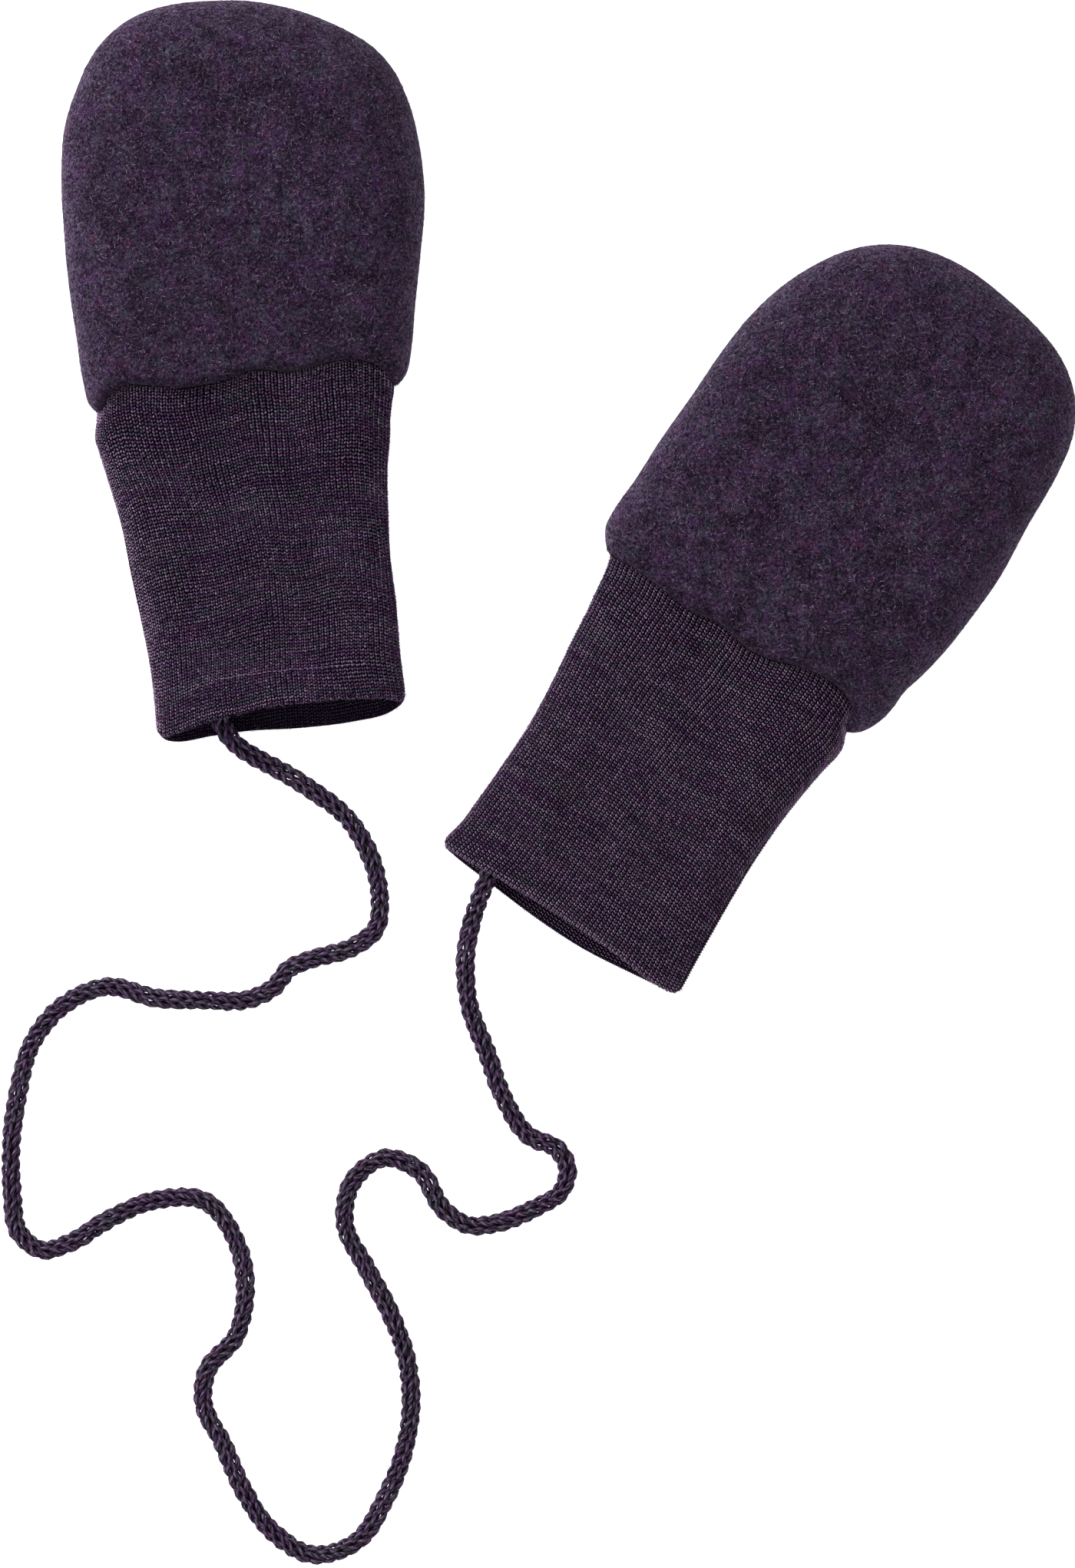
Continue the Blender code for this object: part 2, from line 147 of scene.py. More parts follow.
@dataclass(frozen=True)
class Pattern:
    """Tables of one mitten's shape."""

    name: str
    at: tuple  # origin of its frame on the floor, x and y
    turn: float  # degrees about z
    hand_outline: tuple  # u, v from the seam's left end round the tip to its right end
    seam_front: tuple  # share across, v of the front panel's lower edge
    hand_crown: tuple  # v, crown height of the hand
    cuff_sections: tuple  # v, left u, right u, underside z, side fold z, crown z
    hem_front: tuple  # share across, v of the mouth's front edge
    hem_back: tuple  # share across, v of its back edge
    hand_dents: tuple
    cuff_dents: tuple
    hand_creases: tuple  # finer ones, of the front panel
    back_creases: tuple
    cuff_creases: tuple
    wales: int  # stitches round the cuff
    hem_seam: tuple  # first u, last u, v of hem stitching that shows, or nothing
    hem_corners: tuple  # radius of the mouth's left and right corner
    cuff_twist: tuple  # share of the way from deep in the mouth to the seam, wales turned
    stagger: float  # courses from a stitch's left leg to its right one
    unevenness: float  # of the cuff's stitches, 0 for an even knit
    relief: float  # how much its stitches stand out and how strong their painted light and shade is, 1 for a firm knit
    leg_half_width: float  # of a stitch
    spread: float  # wales by which a stitch's legs stand further apart
    fold_painted_light: tuple  # painted light: how much paler the left and the right fold is
    seam_painted_highlight: float  # painted highlight on the stitches that meet the seam
    mouth_painted_shading: float  # painted light and shade of the stitches inside the mouth, lower for darker

    def to_world(self, points: Array) -> Array:
        """Points of this mitten's frame in the row frame.

        Args:
            points: millimetres, x y z last.

        Returns:
            The same points in metres, where the mitten lies.
        """
        angle = math.radians(self.turn)
        turned = points.copy()
        turned[..., 0] = points[..., 0] * math.cos(angle) - points[..., 1] * math.sin(angle)
        turned[..., 1] = points[..., 0] * math.sin(angle) + points[..., 1] * math.cos(angle)
        turned[..., 0] += self.at[0]
        turned[..., 1] += self.at[1]
        return turned * MM

    def turned(self, vectors: Array) -> Array:
        """Directions of this mitten's frame in the row frame."""
        return self.to_world(vectors) - self.to_world(np.zeros(3))


LEFT = Pattern(
    name="left",
    at=(-71.6, 24.9),
    turn=4.0,
    hand_outline=(
        (-32.8, -4.9), (-34.6, -1.8), (-35.5, 3.0), (-36.3, 13.0), (-37.2, 25.0), (-37.4, 36.0),
        (-37.1, 49.0), (-35.5, 60.0), (-32.3, 68.0), (-28.4, 75.0), (-23.6, 79.9), (-17.4, 83.3),
        (-10.0, 84.9), (-1.0, 85.1), (7.0, 84.5), (12.8, 83.2), (21.0, 80.3), (28.1, 76.5), (33.2, 72.9),
        (37.3, 68.0), (40.6, 60.0), (42.5, 49.0), (42.7, 38.0), (41.1, 27.0), (39.0, 15.0), (37.5, 5.5),
        (36.3, 0.6), (34.1, -3.1),
    ),
    seam_front=(
        (0.00, -4.9), (0.015, -2.9), (0.04, -0.6), (0.09, 1.1), (0.16, 1.0), (0.30, -0.1), (0.42, 0.8),
        (0.52, 2.7), (0.66, 1.8), (0.78, 3.3), (0.90, 2.8), (0.97, 0.0), (1.00, -3.1),
    ),
    hand_crown=((-6.0, 14.0), (12.0, 15.6), (35.0, 16.4), (60.0, 16.0), (90.0, 14.6)),
    cuff_sections=(
        (-80.0, -24.8, 31.1, 0.0, 4.6, 11.2),
        (-76.0, -24.9, 31.1, 0.0, 4.6, 11.0),
        (-71.0, -24.9, 30.9, 0.0, 4.5, 10.6),
        (-62.0, -25.3, 30.4, 0.0, 4.2, 9.2),
        (-51.0, -26.6, 30.3, 0.0, 4.0, 8.6),
        (-40.0, -28.2, 29.7, 0.0, 4.0, 8.5),
        (-29.0, -29.6, 30.0, 0.0, 4.1, 8.8),
        (-20.4, -31.5, 30.5, 0.0, 4.4, 9.4),
        (-14.0, -33.0, 31.5, 0.2, 4.9, 10.0),
        (-9.0, -33.9, 32.0, 1.3, 5.4, 10.6),
        (-6.4, -33.4, 32.5, 2.1, 5.7, 10.8),
        (-4.0, -33.0, 33.1, 2.6, 5.9, 11.0),
        (0.0, -32.5, 33.3, 2.8, 6.0, 11.2),
        (12.0, -32.5, 33.3, 2.9, 6.0, 11.2),
    ),
    hem_front=(
        (0.00, -77.0), (0.05, -76.4), (0.12, -75.4), (0.20, -74.3), (0.32, -73.0), (0.42, -71.9),
        (0.55, -71.4), (0.79, -71.1), (0.93, -71.7), (1.00, -72.7),
    ),
    hem_back=(
        (0.00, -77.0), (0.05, -77.8), (0.22, -77.2), (0.34, -76.7), (0.58, -76.8), (0.78, -76.2),
        (0.93, -74.7), (1.00, -72.7),
    ),
    hand_dents=dents(
        (3.0, 62.0, -20.0, 13.0, 7.0, 0.8), (25.0, 23.0, 15.0, 12.0, 6.0, 0.7),
        (-21.0, 14.0, 0.0, 10.0, 6.0, 0.6),
    ),
    cuff_dents=dents(
        (-14.0, -45.0, 6.0, 16.0, 5.0, 0.9), (12.0, -42.0, -4.0, 18.0, 5.0, 0.9),
        (-8.0, -18.0, 0.0, 9.0, 7.0, 0.6),
    ),
    hand_creases=dents(
        (-8.0, 33.0, -65.0, 15.0, 4.0, 0.28), (19.0, 48.0, 28.0, 12.0, 3.6, 0.26),
        (-24.0, 52.0, 12.0, 11.0, 3.4, 0.24), (31.0, 8.0, -40.0, 7.0, 2.4, 0.35),
        (-31.0, 2.0, 35.0, 6.0, 2.2, 0.35), (4.0, 9.0, 10.0, 7.0, 2.6, 0.40),
        (-12.0, 8.0, -15.0, 6.0, 2.6, 0.32), (16.0, 10.0, -8.0, 6.5, 2.4, -0.30),
    ),
    back_creases=dents((-30.0, 30.0, 60.0, 9.0, 3.0, 0.4), (33.0, 44.0, -70.0, 8.0, 3.0, 0.4)),
    cuff_creases=dents(
        (-19.0, -9.0, 10.0, 6.0, 2.2, 0.30), (-27.5, -11.0, 35.0, 8.0, 2.4, 0.45),
        (4.0, -8.0, -4.0, 7.0, 2.4, 0.28), (20.0, -9.0, 8.0, 7.0, 2.2, -0.28),
        (28.0, -8.0, -25.0, 7.0, 2.2, 0.40), (-22.0, -62.0, 24.0, 10.0, 3.0, 0.40),
        (22.0, -58.0, -10.0, 12.0, 3.4, 0.32), (2.0, -60.0, 80.0, 16.0, 2.6, 0.20),
    ),
    wales=108,
    hem_seam=(-9.0, 23.0, -63.9),
    hem_corners=(2.2, 1.5),
    cuff_twist=(
        (0.0, 0.0), (0.25, 0.3), (0.47, 1.15), (0.7, 0.3), (0.8, 0.1), (0.83, 0.05), (0.87, -0.4),
        (1.0, -0.5),
    ),
    stagger=0.2,
    unevenness=1.0,
    relief=0.78,
    leg_half_width=0.225,
    spread=0.04,
    fold_painted_light=(0.5, 0.0),
    seam_painted_highlight=0.45,
    mouth_painted_shading=-0.05,
)

RIGHT = Pattern(
    name="right",
    at=(35.1, -32.1),
    turn=-31.5,
    hand_outline=(
        (-33.0, 2.6), (-34.2, 4.6), (-36.2, 8.0), (-36.5, 12.0), (-36.0, 20.0), (-35.8, 31.0),
        (-35.0, 43.0), (-34.5, 54.0), (-33.2, 64.5), (-30.5, 74.0), (-26.6, 82.0), (-21.5, 88.9),
        (-15.2, 93.9), (-7.6, 97.0), (3.0, 98.2), (13.0, 97.1), (22.3, 95.2), (28.8, 93.0), (33.8, 90.0),
        (38.4, 85.2), (41.7, 78.4), (43.1, 69.0), (43.4, 57.0), (44.1, 43.0), (43.4, 33.0), (42.4, 24.0),
        (40.6, 15.5), (39.2, 10.5), (39.1, 7.5), (38.2, 3.0), (36.4, -0.6), (33.2, -3.9),
    ),
    seam_front=(
        (0.00, 2.6), (0.12, 2.9), (0.24, 2.2), (0.35, 1.7), (0.45, 2.5), (0.55, 1.0), (0.65, 1.6),
        (0.76, 3.8), (0.88, 4.1), (0.95, 2.7), (0.98, 0.9), (1.00, -3.9),
    ),
    hand_crown=((-6.0, 14.0), (14.0, 15.8), (42.0, 16.6), (70.0, 16.2), (102.0, 14.6)),
    cuff_sections=(
        (-78.0, -31.0, 32.0, 0.0, 4.3, 9.4),
        (-72.0, -30.9, 31.8, 0.0, 4.2, 9.2),
        (-69.0, -30.3, 31.7, 0.0, 4.2, 9.1),
        (-65.5, -29.4, 31.5, 0.0, 4.2, 8.9),
        (-58.0, -28.7, 31.2, 0.0, 4.0, 8.6),
        (-48.0, -28.1, 30.9, 0.0, 4.0, 8.5),
        (-38.0, -27.8, 30.8, 0.0, 4.0, 8.5),
        (-27.0, -28.4, 31.4, 0.0, 4.1, 8.9),
        (-18.0, -29.4, 32.5, 0.0, 4.5, 9.6),
        (-13.0, -29.8, 33.3, 0.3, 4.9, 10.1),
        (-8.5, -30.2, 34.2, 1.4, 5.5, 10.6),
        (-6.0, -30.5, 34.1, 2.2, 5.7, 10.8),
        (-4.0, -30.7, 33.3, 2.6, 5.9, 11.0),
        (-1.0, -31.1, 32.9, 2.8, 5.9, 11.1),
        (2.6, -31.9, 32.9, 2.9, 6.0, 11.2),
        (14.0, -32.1, 32.9, 2.9, 6.0, 11.2),
    ),
    hem_front=(
        (0.00, -71.2), (0.10, -71.2), (0.28, -71.0), (0.48, -70.9), (0.76, -71.8), (0.92, -72.9),
        (1.00, -72.5),
    ),
    hem_back=(
        (0.00, -71.2), (0.08, -72.1), (0.20, -72.9), (0.48, -74.5), (0.62, -74.7), (0.82, -73.7),
        (1.00, -72.5),
    ),
    hand_dents=dents(
        (2.5, 9.0, 12.0, 9.0, 4.0, 1.0), (15.0, 14.0, 0.0, 8.0, 7.0, -0.8),
        (-22.0, 23.0, 10.0, 13.0, 6.0, 0.8), (-15.0, 51.0, -10.0, 11.0, 7.0, 0.7),
    ),
    cuff_dents=dents(
        (-10.0, -40.0, -8.0, 17.0, 6.0, 0.8), (15.0, -46.0, 6.0, 16.0, 6.0, 0.8),
        (3.0, -16.0, 0.0, 9.0, 7.0, 0.6),
    ),
    hand_creases=dents(
        (12.0, 40.0, -60.0, 16.0, 4.2, 0.28), (27.0, 62.0, 18.0, 13.0, 3.8, 0.26),
        (-6.0, 74.0, 72.0, 12.0, 3.6, 0.24), (-29.0, 10.0, -30.0, 7.0, 2.6, 0.34),
        (29.0, 11.0, 28.0, 9.0, 2.4, 0.45), (35.0, 2.0, -12.0, 6.0, 2.0, 0.45),
        (-12.0, 9.0, -12.0, 7.0, 2.6, 0.32),
    ),
    back_creases=dents((-29.0, 40.0, 60.0, 9.0, 3.0, 0.4), (36.0, 50.0, -70.0, 8.0, 3.0, 0.4)),
    cuff_creases=dents(
        (1.0, 2.0, 96.5, 4.6, 1.1, 1.0), (-21.0, -7.0, 12.0, 7.0, 2.2, 0.30),
        (-4.0, -7.0, -6.0, 7.0, 2.4, 0.30), (13.0, -6.0, 6.0, 6.0, 2.2, -0.26),
        (28.0, -12.0, -35.0, 9.0, 2.6, 0.45), (-24.0, -58.0, -16.0, 11.0, 3.0, 0.34),
        (24.0, -60.0, 14.0, 12.0, 3.2, 0.34), (0.0, -58.0, 84.0, 16.0, 2.8, 0.20),
    ),
    wales=124,
    hem_seam=(),
    hem_corners=(1.8, 1.6),
    cuff_twist=(
        (0.0, -1.8), (0.35, -1.7), (0.65, -0.9), (0.79, -0.55), (0.83, -0.45), (0.9, 0.4), (1.0, 0.5),
    ),
    stagger=-0.2,
    unevenness=0.3,
    relief=1.15,
    leg_half_width=0.212,
    spread=0.0,
    fold_painted_light=(0.0, 0.0),
    seam_painted_highlight=0.1,
    mouth_painted_shading=0.65,
)

# x, y, z of the cord's middle, from its sewn end in the left cuff to that in the right
CORD_ROUTE = (
    (-79.6, -35.6, 3.7), (-78.0, -43.5, 3.7), (-76.2, -51.2, 3.8), (-73.2, -55.0, 3.7), (-69.6, -57.4, 3.1),
    (-63.2, -60.8, 2.1), (-56.0, -65.4, 2.1), (-49.7, -70.2, 2.1), (-44.2, -78.6, 2.1), (-41.7, -89.5, 2.1),
    (-42.5, -95.5, 2.1), (-47.0, -99.3, 2.1), (-56.6, -102.3, 2.1), (-61.6, -104.3, 2.1),
    (-65.2, -108.6, 2.1), (-70.5, -111.2, 2.1), (-80.8, -111.4, 2.1), (-91.7, -110.9, 2.1),
    (-102.0, -108.4, 2.1), (-112.2, -112.8, 2.1), (-119.0, -121.4, 2.1), (-121.9, -132.0, 2.1),
    (-123.4, -143.0, 2.1), (-123.2, -154.0, 2.1), (-121.4, -163.5, 2.1), (-116.6, -166.9, 2.1),
    (-110.8, -165.4, 2.1), (-101.5, -159.9, 2.1), (-91.5, -155.8, 2.1), (-80.5, -156.0, 2.1),
    (-73.8, -164.3, 2.1), (-71.5, -175.3, 2.1), (-73.6, -186.0, 2.1), (-80.0, -193.6, 2.1),
    (-80.9, -200.2, 2.1), (-76.5, -209.8, 2.1), (-72.0, -220.0, 2.1), (-65.8, -229.0, 2.1),
    (-56.8, -234.4, 2.1), (-46.8, -231.5, 2.1), (-40.7, -222.4, 2.1), (-36.6, -212.4, 2.1),
    (-34.8, -201.8, 2.1), (-35.8, -190.8, 2.1), (-39.5, -180.6, 2.1), (-44.6, -170.9, 2.1),
    (-49.4, -161.2, 2.1), (-47.4, -151.2, 2.1), (-40.6, -146.4, 2.1), (-33.0, -149.2, 2.1),
    (-27.4, -158.0, 2.1), (-21.8, -161.4, 2.1), (-16.8, -161.1, 2.1), (-6.8, -157.3, 2.1),
    (-1.4, -153.8, 2.1), (0.0, -148.8, 2.1), (-2.6, -144.2, 2.1), (-8.0, -142.0, 2.1), (-14.0, -133.6, 2.1),
    (-17.8, -123.4, 2.1), (-21.7, -113.0, 2.1), (-22.7, -102.4, 2.1), (-20.8, -92.4, 2.6),
    (-19.3, -88.2, 3.6), (-18.0, -85.0, 3.8), (-15.8, -79.8, 3.8), (-12.4, -76.2, 3.7), (-7.6, -73.0, 3.7),
)


def smooth(knots: Array, values: Array, at: Array) -> Array:
    """Read a smooth curve through the given values.

    Args:
        knots: rising places of the values.
        values: one value, or one row of values, for each knot.
        at: places to read.

    Returns:
        The value, or the row of values, at each place.
    """
    knots, values, at = (np.asarray(x, float) for x in (knots, values, at))
    slopes = np.gradient(values, knots, axis=0)
    k = np.clip(np.searchsorted(knots, at, side="right") - 1, 0, len(knots) - 2)
    span = knots[k + 1] - knots[k]
    q = np.clip((at - knots[k]) / span, 0.0, 1.0)
    if values.ndim > 1:
        q, span = q[..., None], span[..., None]
    start = (1 + 2 * q) * (1 - q) ** 2 * values[k] + q * (1 - q) ** 2 * span * slopes[k]
    end = q**2 * (3 - 2 * q) * values[k + 1] - q**2 * (1 - q) * span * slopes[k + 1]
    return start + end


def read_table(table: tuple, at: Array) -> Array:
    """Read a pattern's table smoothly.

    Args:
        table: rows of a rising place and one value or more.
        at: places to read.

    Returns:
        The value, or the row of values, at each place.
    """
    rows = np.array(table)
    return smooth(rows[:, 0], rows[:, 1] if rows.shape[1] == 2 else rows[:, 1:], at)


def read_line(at: Array, places: Array, rows: Array) -> Array:
    """Rows of values read straight between their rising places."""
    return np.stack([np.interp(at, places, values) for values in rows.T], axis=-1)


def lengths(points: Array, axis: int = 0) -> Array:
    """Measure paths from their start to each of their points.

    Args:
        points: their points, x y z or x y last.
        axis: the axis along the paths.

    Returns:
        The lengths, 0 at the start.
    """
    steps = np.linalg.norm(np.diff(points, axis=axis), axis=-1)
    return np.insert(np.cumsum(steps, axis=axis), 0, 0.0, axis=axis)


def along_route(points: tuple, shares: Array) -> Array:
    """Read a smooth curve through points.

    Args:
        points: the curve's own points.
        shares: shares of its length.

    Returns:
        The curve's point at each share.
    """
    points = np.asarray(points, float)
    chords = lengths(points)
    fine = smooth(chords, points, np.linspace(0, chords[-1], CURVE_SAMPLES))
    length = lengths(fine)
    return read_line(np.asarray(shares) * length[-1], length, fine)


def bulge(distance: Array, reach: float) -> Array:
    """Height share of cloth that curves up from a fold: 0 there, 1 from reach on."""
    rest = 1 - np.clip(distance / reach, 0, 1)
    return np.sqrt(1 - rest**2)


def upness(distance: Array, reach: float, rise: Array) -> Array:
    """Work out how steep such cloth stands.

    Args:
        distance: from the fold.
        reach: where it is flat.
        rise: its whole height.

    Returns:
        Vertical part of its outward normal.
    """
    rest = 1 - np.clip(distance / reach, 0, 1)
    flat = 1 - rest**2
    return np.sqrt(flat / (flat + (rise / reach * rest) ** 2))


def ease(share: Array) -> Array:
    """Smooth step from 0 to 1."""
    share = np.clip(share, 0, 1)
    return share**2 * (3 - 2 * share)


def bell(distance: Array, reach: float) -> Array:
    """Nearness to a line: 1 on it, falling off like a bell over the reach."""
    return np.exp(-((distance / reach) ** 2))


def sunk(troughs: tuple, u: Array, v: Array) -> Array:
    """Depth of all of these dents together."""
    return sum(dent.depth_at(u, v) for dent in troughs)


def ripple(across: Array, along: Array, size: float, seed: int) -> Array:
    """Smooth uneven field, the sum of a few waves in chance directions.

    Args:
        across: places one way.
        along: places the other way.
        size: usual length of a wave.
        seed: of its chance numbers.

    Returns:
        The field, about 0 with a spread of about 1.
    """
    draw = np.random.default_rng(seed)
    angle = draw.uniform(0, math.pi, RIPPLE_WAVES)
    step = 2 * math.pi / size * draw.uniform(0.5, 1.6, RIPPLE_WAVES)
    start = draw.uniform(0, 2 * math.pi, RIPPLE_WAVES)
    found = np.zeros(np.broadcast(across, along).shape)
    for k in range(RIPPLE_WAVES):
        found += np.cos((across * math.cos(angle[k]) + along * math.sin(angle[k])) * step[k] + start[k])
    return found * math.sqrt(2 / RIPPLE_WAVES)


def unit(vectors: Array) -> Array:
    """Vectors of length 1 along the given ones."""
    return vectors / np.maximum(np.linalg.norm(vectors, axis=-1, keepdims=True), 1e-12)


def normals(points: Array, closed: bool = False, toe: bool = False) -> Array:
    """Unit normals of a grid of points.

    Args:
        points: columns, rows and x y z.
        closed: its last column is its first.
        toe: its last row is folded on itself.

    Returns:
        One normal for each point.
    """
    grid = points
    if closed:
        grid = np.concatenate([grid[-2:-1], grid, grid[1:2]])
    if toe:
        grid = np.concatenate([grid, grid[::-1, -2:-1]], axis=1)
    found = np.cross(np.gradient(grid, axis=0), np.gradient(grid, axis=1))
    if closed:
        found = found[1:-1]
    if toe:
        found = found[:, :-1]
        middle = len(found) // 2
        found[middle, -1] = found[middle, -2]
    return unit(found)


def read_grid(grid: Array, column: Array, row: Array) -> Array:
    """Read a grid of vectors between its points.

    Args:
        grid: columns, rows and x y z.
        column: places across, in columns.
        row: places along, in rows.

    Returns:
        The vector at each place.
    """
    i = np.clip(np.floor(column).astype(int), 0, grid.shape[0] - 2)
    j = np.clip(np.floor(row).astype(int), 0, grid.shape[1] - 2)
    p, q = (column - i)[..., None], (row - j)[..., None]
    low = grid[i, j] * (1 - p) + grid[i + 1, j] * p
    high = grid[i, j + 1] * (1 - p) + grid[i + 1, j + 1] * p
    return low * (1 - q) + high * q


def place(name: str, data: bpy.types.ID) -> Piece:
    """Put a mesh, a light or a camera in the scene.

    Args:
        name: the object's name.
        data: what the object shows.

    Returns:
        The new object.
    """
    found = bpy.data.objects.new(name, data)
    bpy.context.scene.collection.objects.link(found)
    return found


def shell(name: str, outer: Array, inner: Array, stitch: Array = None) -> Piece:
    """Make a wall between two grids of points; points that meet are merged.

    Args:
        name: the object's name.
        outer: points of the outer skin in metres, columns, rows and x y z.
        inner: points of the inner skin.
        stitch: three values for each point, kept as the attribute "stitch".

    Returns:
        The new object.
    """
    columns, rows = outer.shape[0] - 1, outer.shape[1] - 1
    bm = bmesh.new()
    key = bm.verts.layers.int.new("key")
    marks = bm.verts.layers.float_vector.new("stitch") if stitch is not None else None
    bmesh.ops.create_grid(bm, x_segments=columns, y_segments=rows, size=0.5)
    for vert in bm.verts:
        i, j = round((vert.co.x + 0.5) * columns), round((vert.co.y + 0.5) * rows)
        vert[key] = i * (rows + 1) + j
        vert.co = outer[i, j]
    bmesh.ops.remove_doubles(bm, verts=bm.verts, dist=MERGE_METRES)
    made = bmesh.ops.extrude_face_region(bm, geom=bm.faces[:], use_keep_orig=True)
    copies = {item for item in made["geom"] if isinstance(item, bmesh.types.BMVert)}
    for vert in bm.verts:
        cell = divmod(vert[key], rows + 1)
        vert.co = (outer if vert in copies else inner)[cell]
        if marks is not None:
            vert[marks] = stitch[cell]
    bm.verts.layers.int.remove(key)
    bmesh.ops.recalc_face_normals(bm, faces=bm.faces)
    mesh = bpy.data.meshes.new(name)
    bm.to_mesh(mesh)
    bm.free()
    mesh.shade_smooth()
    mesh.set_sharp_from_angle(angle=math.radians(SHARP_DEGREES))
    return place(name, mesh)


@dataclass(frozen=True)
class Strands:
    """Many tapered strands joined in one mesh, each from tip to tip.

    paths: strands, stations and x y z. up: a vector near each station's upper
    side. wide and high: half sizes of the section at each station.
    """

    paths: Array
    up: Array
    wide: Array
    high: Array
    sides: int = 3

    def faces(self) -> tuple[Array, Array]:
        """Triangles of one strand.

        Returns:
            Point numbers of each triangle, and the station and side of each corner.
        """
        rings, sides = self.paths.shape[1] - 2, self.sides
        last = 1 + rings * sides
        faces, marks = [], []
        for side in range(sides):
            after = (side + 1) % sides
            faces.append((0, 1 + after, 1 + side))
            marks.append(((0, side), (1, side + 1), (1, side)))
            for ring in range(rings - 1):
                a, b = 1 + ring * sides + side, 1 + ring * sides + after
                faces += [(a, b, b + sides), (a, b + sides, a + sides)]
                start, end = ring + 1, ring + 2
                marks.append(((start, side), (start, side + 1), (end, side + 1)))
                marks.append(((start, side), (end, side + 1), (end, side)))
            faces.append((last, last - sides + side, last - sides + after))
            marks.append(((rings + 1, side), (rings, side), (rings, side + 1)))
        return np.array(faces), np.array(marks, float)

    @staticmethod
    def ringed(stations: Array, rings: Array) -> Array:
        """Values of every point: of the first tip, of the rings and of the last tip."""
        return np.concatenate([stations[:, :1], rings, stations[:, -1:]], axis=1)

    def points(self) -> Array:
        """Work out every strand's points.

        Returns:
            Strands, points and x y z: the first tip, the rings and the last tip.
        """
        along = unit(np.gradient(self.paths, axis=1))
        side = unit(np.cross(along, self.up))
        over = np.cross(side, along)
        turns = 2 * math.pi * (np.arange(self.sides) / self.sides + 0.25)
        middle = self.paths[:, 1:-1, None]
        across = side[:, 1:-1, None] * self.wide[:, 1:-1, None, None]
        lifted = over[:, 1:-1, None] * self.high[:, 1:-1, None, None]
        rings = middle + np.cos(turns)[:, None] * across + np.sin(turns)[:, None] * lifted
        return self.ringed(self.paths, rings.reshape(len(self.paths), -1, 3))

    def build(self, name: str, marks: Array, marks_name: str) -> Piece:
        """Join the strands in one object.

        Args:
            name: the object's name.
            marks: three values for each station, kept as a point attribute.
            marks_name: that attribute's name.

        Returns:
            The new object, with a UV map "strand": millimetres along and turns round.
        """
        faces, corners = self.faces()
        points = self.points()
        count, size = points.shape[:2]
        joined = (faces[None] + size * np.arange(count)[:, None, None]).reshape(-1, 3)
        mesh = bpy.data.meshes.new(name)
        mesh.vertices.add(count * size)
        mesh.vertices.foreach_set("co", points.astype(np.float32).ravel())
        mesh.loops.add(joined.size)
        mesh.loops.foreach_set("vertex_index", joined.astype(np.int32).ravel())
        mesh.polygons.add(len(joined))
        mesh.polygons.foreach_set("loop_start", np.arange(0, joined.size, 3, dtype=np.int32))
        mesh.update(calc_edges=True)
        along = (lengths(self.paths, axis=1) / MM)[:, corners[..., 0].astype(int)]
        around = np.broadcast_to(corners[..., 1] / self.sides, along.shape)
        layer = mesh.uv_layers.new(name="strand")
        layer.data.foreach_set("uv", np.stack([along, around], axis=-1).astype(np.float32).ravel())
        attribute = mesh.attributes.new(marks_name, "FLOAT_VECTOR", "POINT")
        at_points = self.ringed(marks, np.repeat(marks[:, 1:-1], self.sides, axis=1))
        attribute.data.foreach_set("vector", at_points.astype(np.float32).ravel())
        mesh.shade_smooth()
        return place(name, mesh)


class Graph:
    """Writes the nodes of one node tree."""

    def __init__(self, tree: Tree) -> None:
        """Start on a tree."""
        self.tree = tree

    def feed(self, socket: Socket, value: object) -> None:
        """Link an output to a socket, or set the socket's own value.

        Args:
            socket: an input of a node.
            value: what it is given.
        """
        if isinstance(value, Socket):
            self.tree.links.new(value, socket)
        else:
            socket.default_value = value

    def add(self, kind: str, inputs: dict = None, **settings: object) -> Outputs:
        """Add a node.

        Args:
            kind: the node's type.
            inputs: a value or another node's output for each input that is set.
            settings: the node's own properties.

        Returns:
            The node's outputs.
        """
        node = self.tree.nodes.new(kind)
        for name, value in settings.items():
            setattr(node, name, value)
        for name, value in (inputs or {}).items():
            self.feed(node.inputs[name], value)
        return node.outputs

    def use(self, group: Tree, **inputs: object) -> Outputs:
        """Outputs of a node group that is fed these inputs."""
        return self.add("ShaderNodeGroup", inputs, node_tree=group)

    def math(self, operation: str, first: object, second: object = 0.0) -> Socket:
        """Output of a Math node on one or two values."""
        return self.add("ShaderNodeMath", {0: first, 1: second}, operation=operation)[0]

    def plus(self, first: object, second: object) -> Socket:
        """Sum of two values."""
        return self.math("ADD", first, second)

    def minus(self, first: object, second: object) -> Socket:
        """Difference of two values."""
        return self.math("SUBTRACT", first, second)

    def times(self, first: object, second: object) -> Socket:
        """Product of two values."""
        return self.math("MULTIPLY", first, second)

    def over(self, first: object, second: object) -> Socket:
        """Quotient of two values."""
        return self.math("DIVIDE", first, second)

    def vector(self, x: object, y: object, z: object = 0.0) -> Socket:
        """Vector of three values."""
        return self.add("ShaderNodeCombineXYZ", {"X": x, "Y": y, "Z": z})[0]

    def parts(self, vector: object) -> Outputs:
        """X, Y and Z of a vector."""
        return self.add("ShaderNodeSeparateXYZ", {"Vector": vector})

    def mix(self, factor: object, low: object, high: object) -> Socket:
        """Mixed colour, from low where the factor is 0 to high where it is 1."""
        return self.add("ShaderNodeMix", {0: factor, 6: low, 7: high}, data_type="RGBA")[2]

    def range(self, value: object, low: float, high: float) -> Socket:
        """Smooth step of a value: 0 at low and 1 at high."""
        inputs = {"Value": value, "From Min": low, "From Max": high}
        return self.add("ShaderNodeMapRange", inputs, interpolation_type="SMOOTHSTEP")["Result"]

    def noise(self, vector: object, scale: object, detail: float, **more: float) -> Socket:
        """Value of a Noise Texture.

        Args:
            vector: where it is read.
            scale: features in a unit of the vector.
            detail: octaves.
            more: its other inputs, by name.

        Returns:
            The noise, about 0.5 in the middle.
        """
        inputs = {"Vector": vector, "Scale": scale, "Detail": detail, **more}
        return self.add("ShaderNodeTexNoise", inputs)["Fac"]


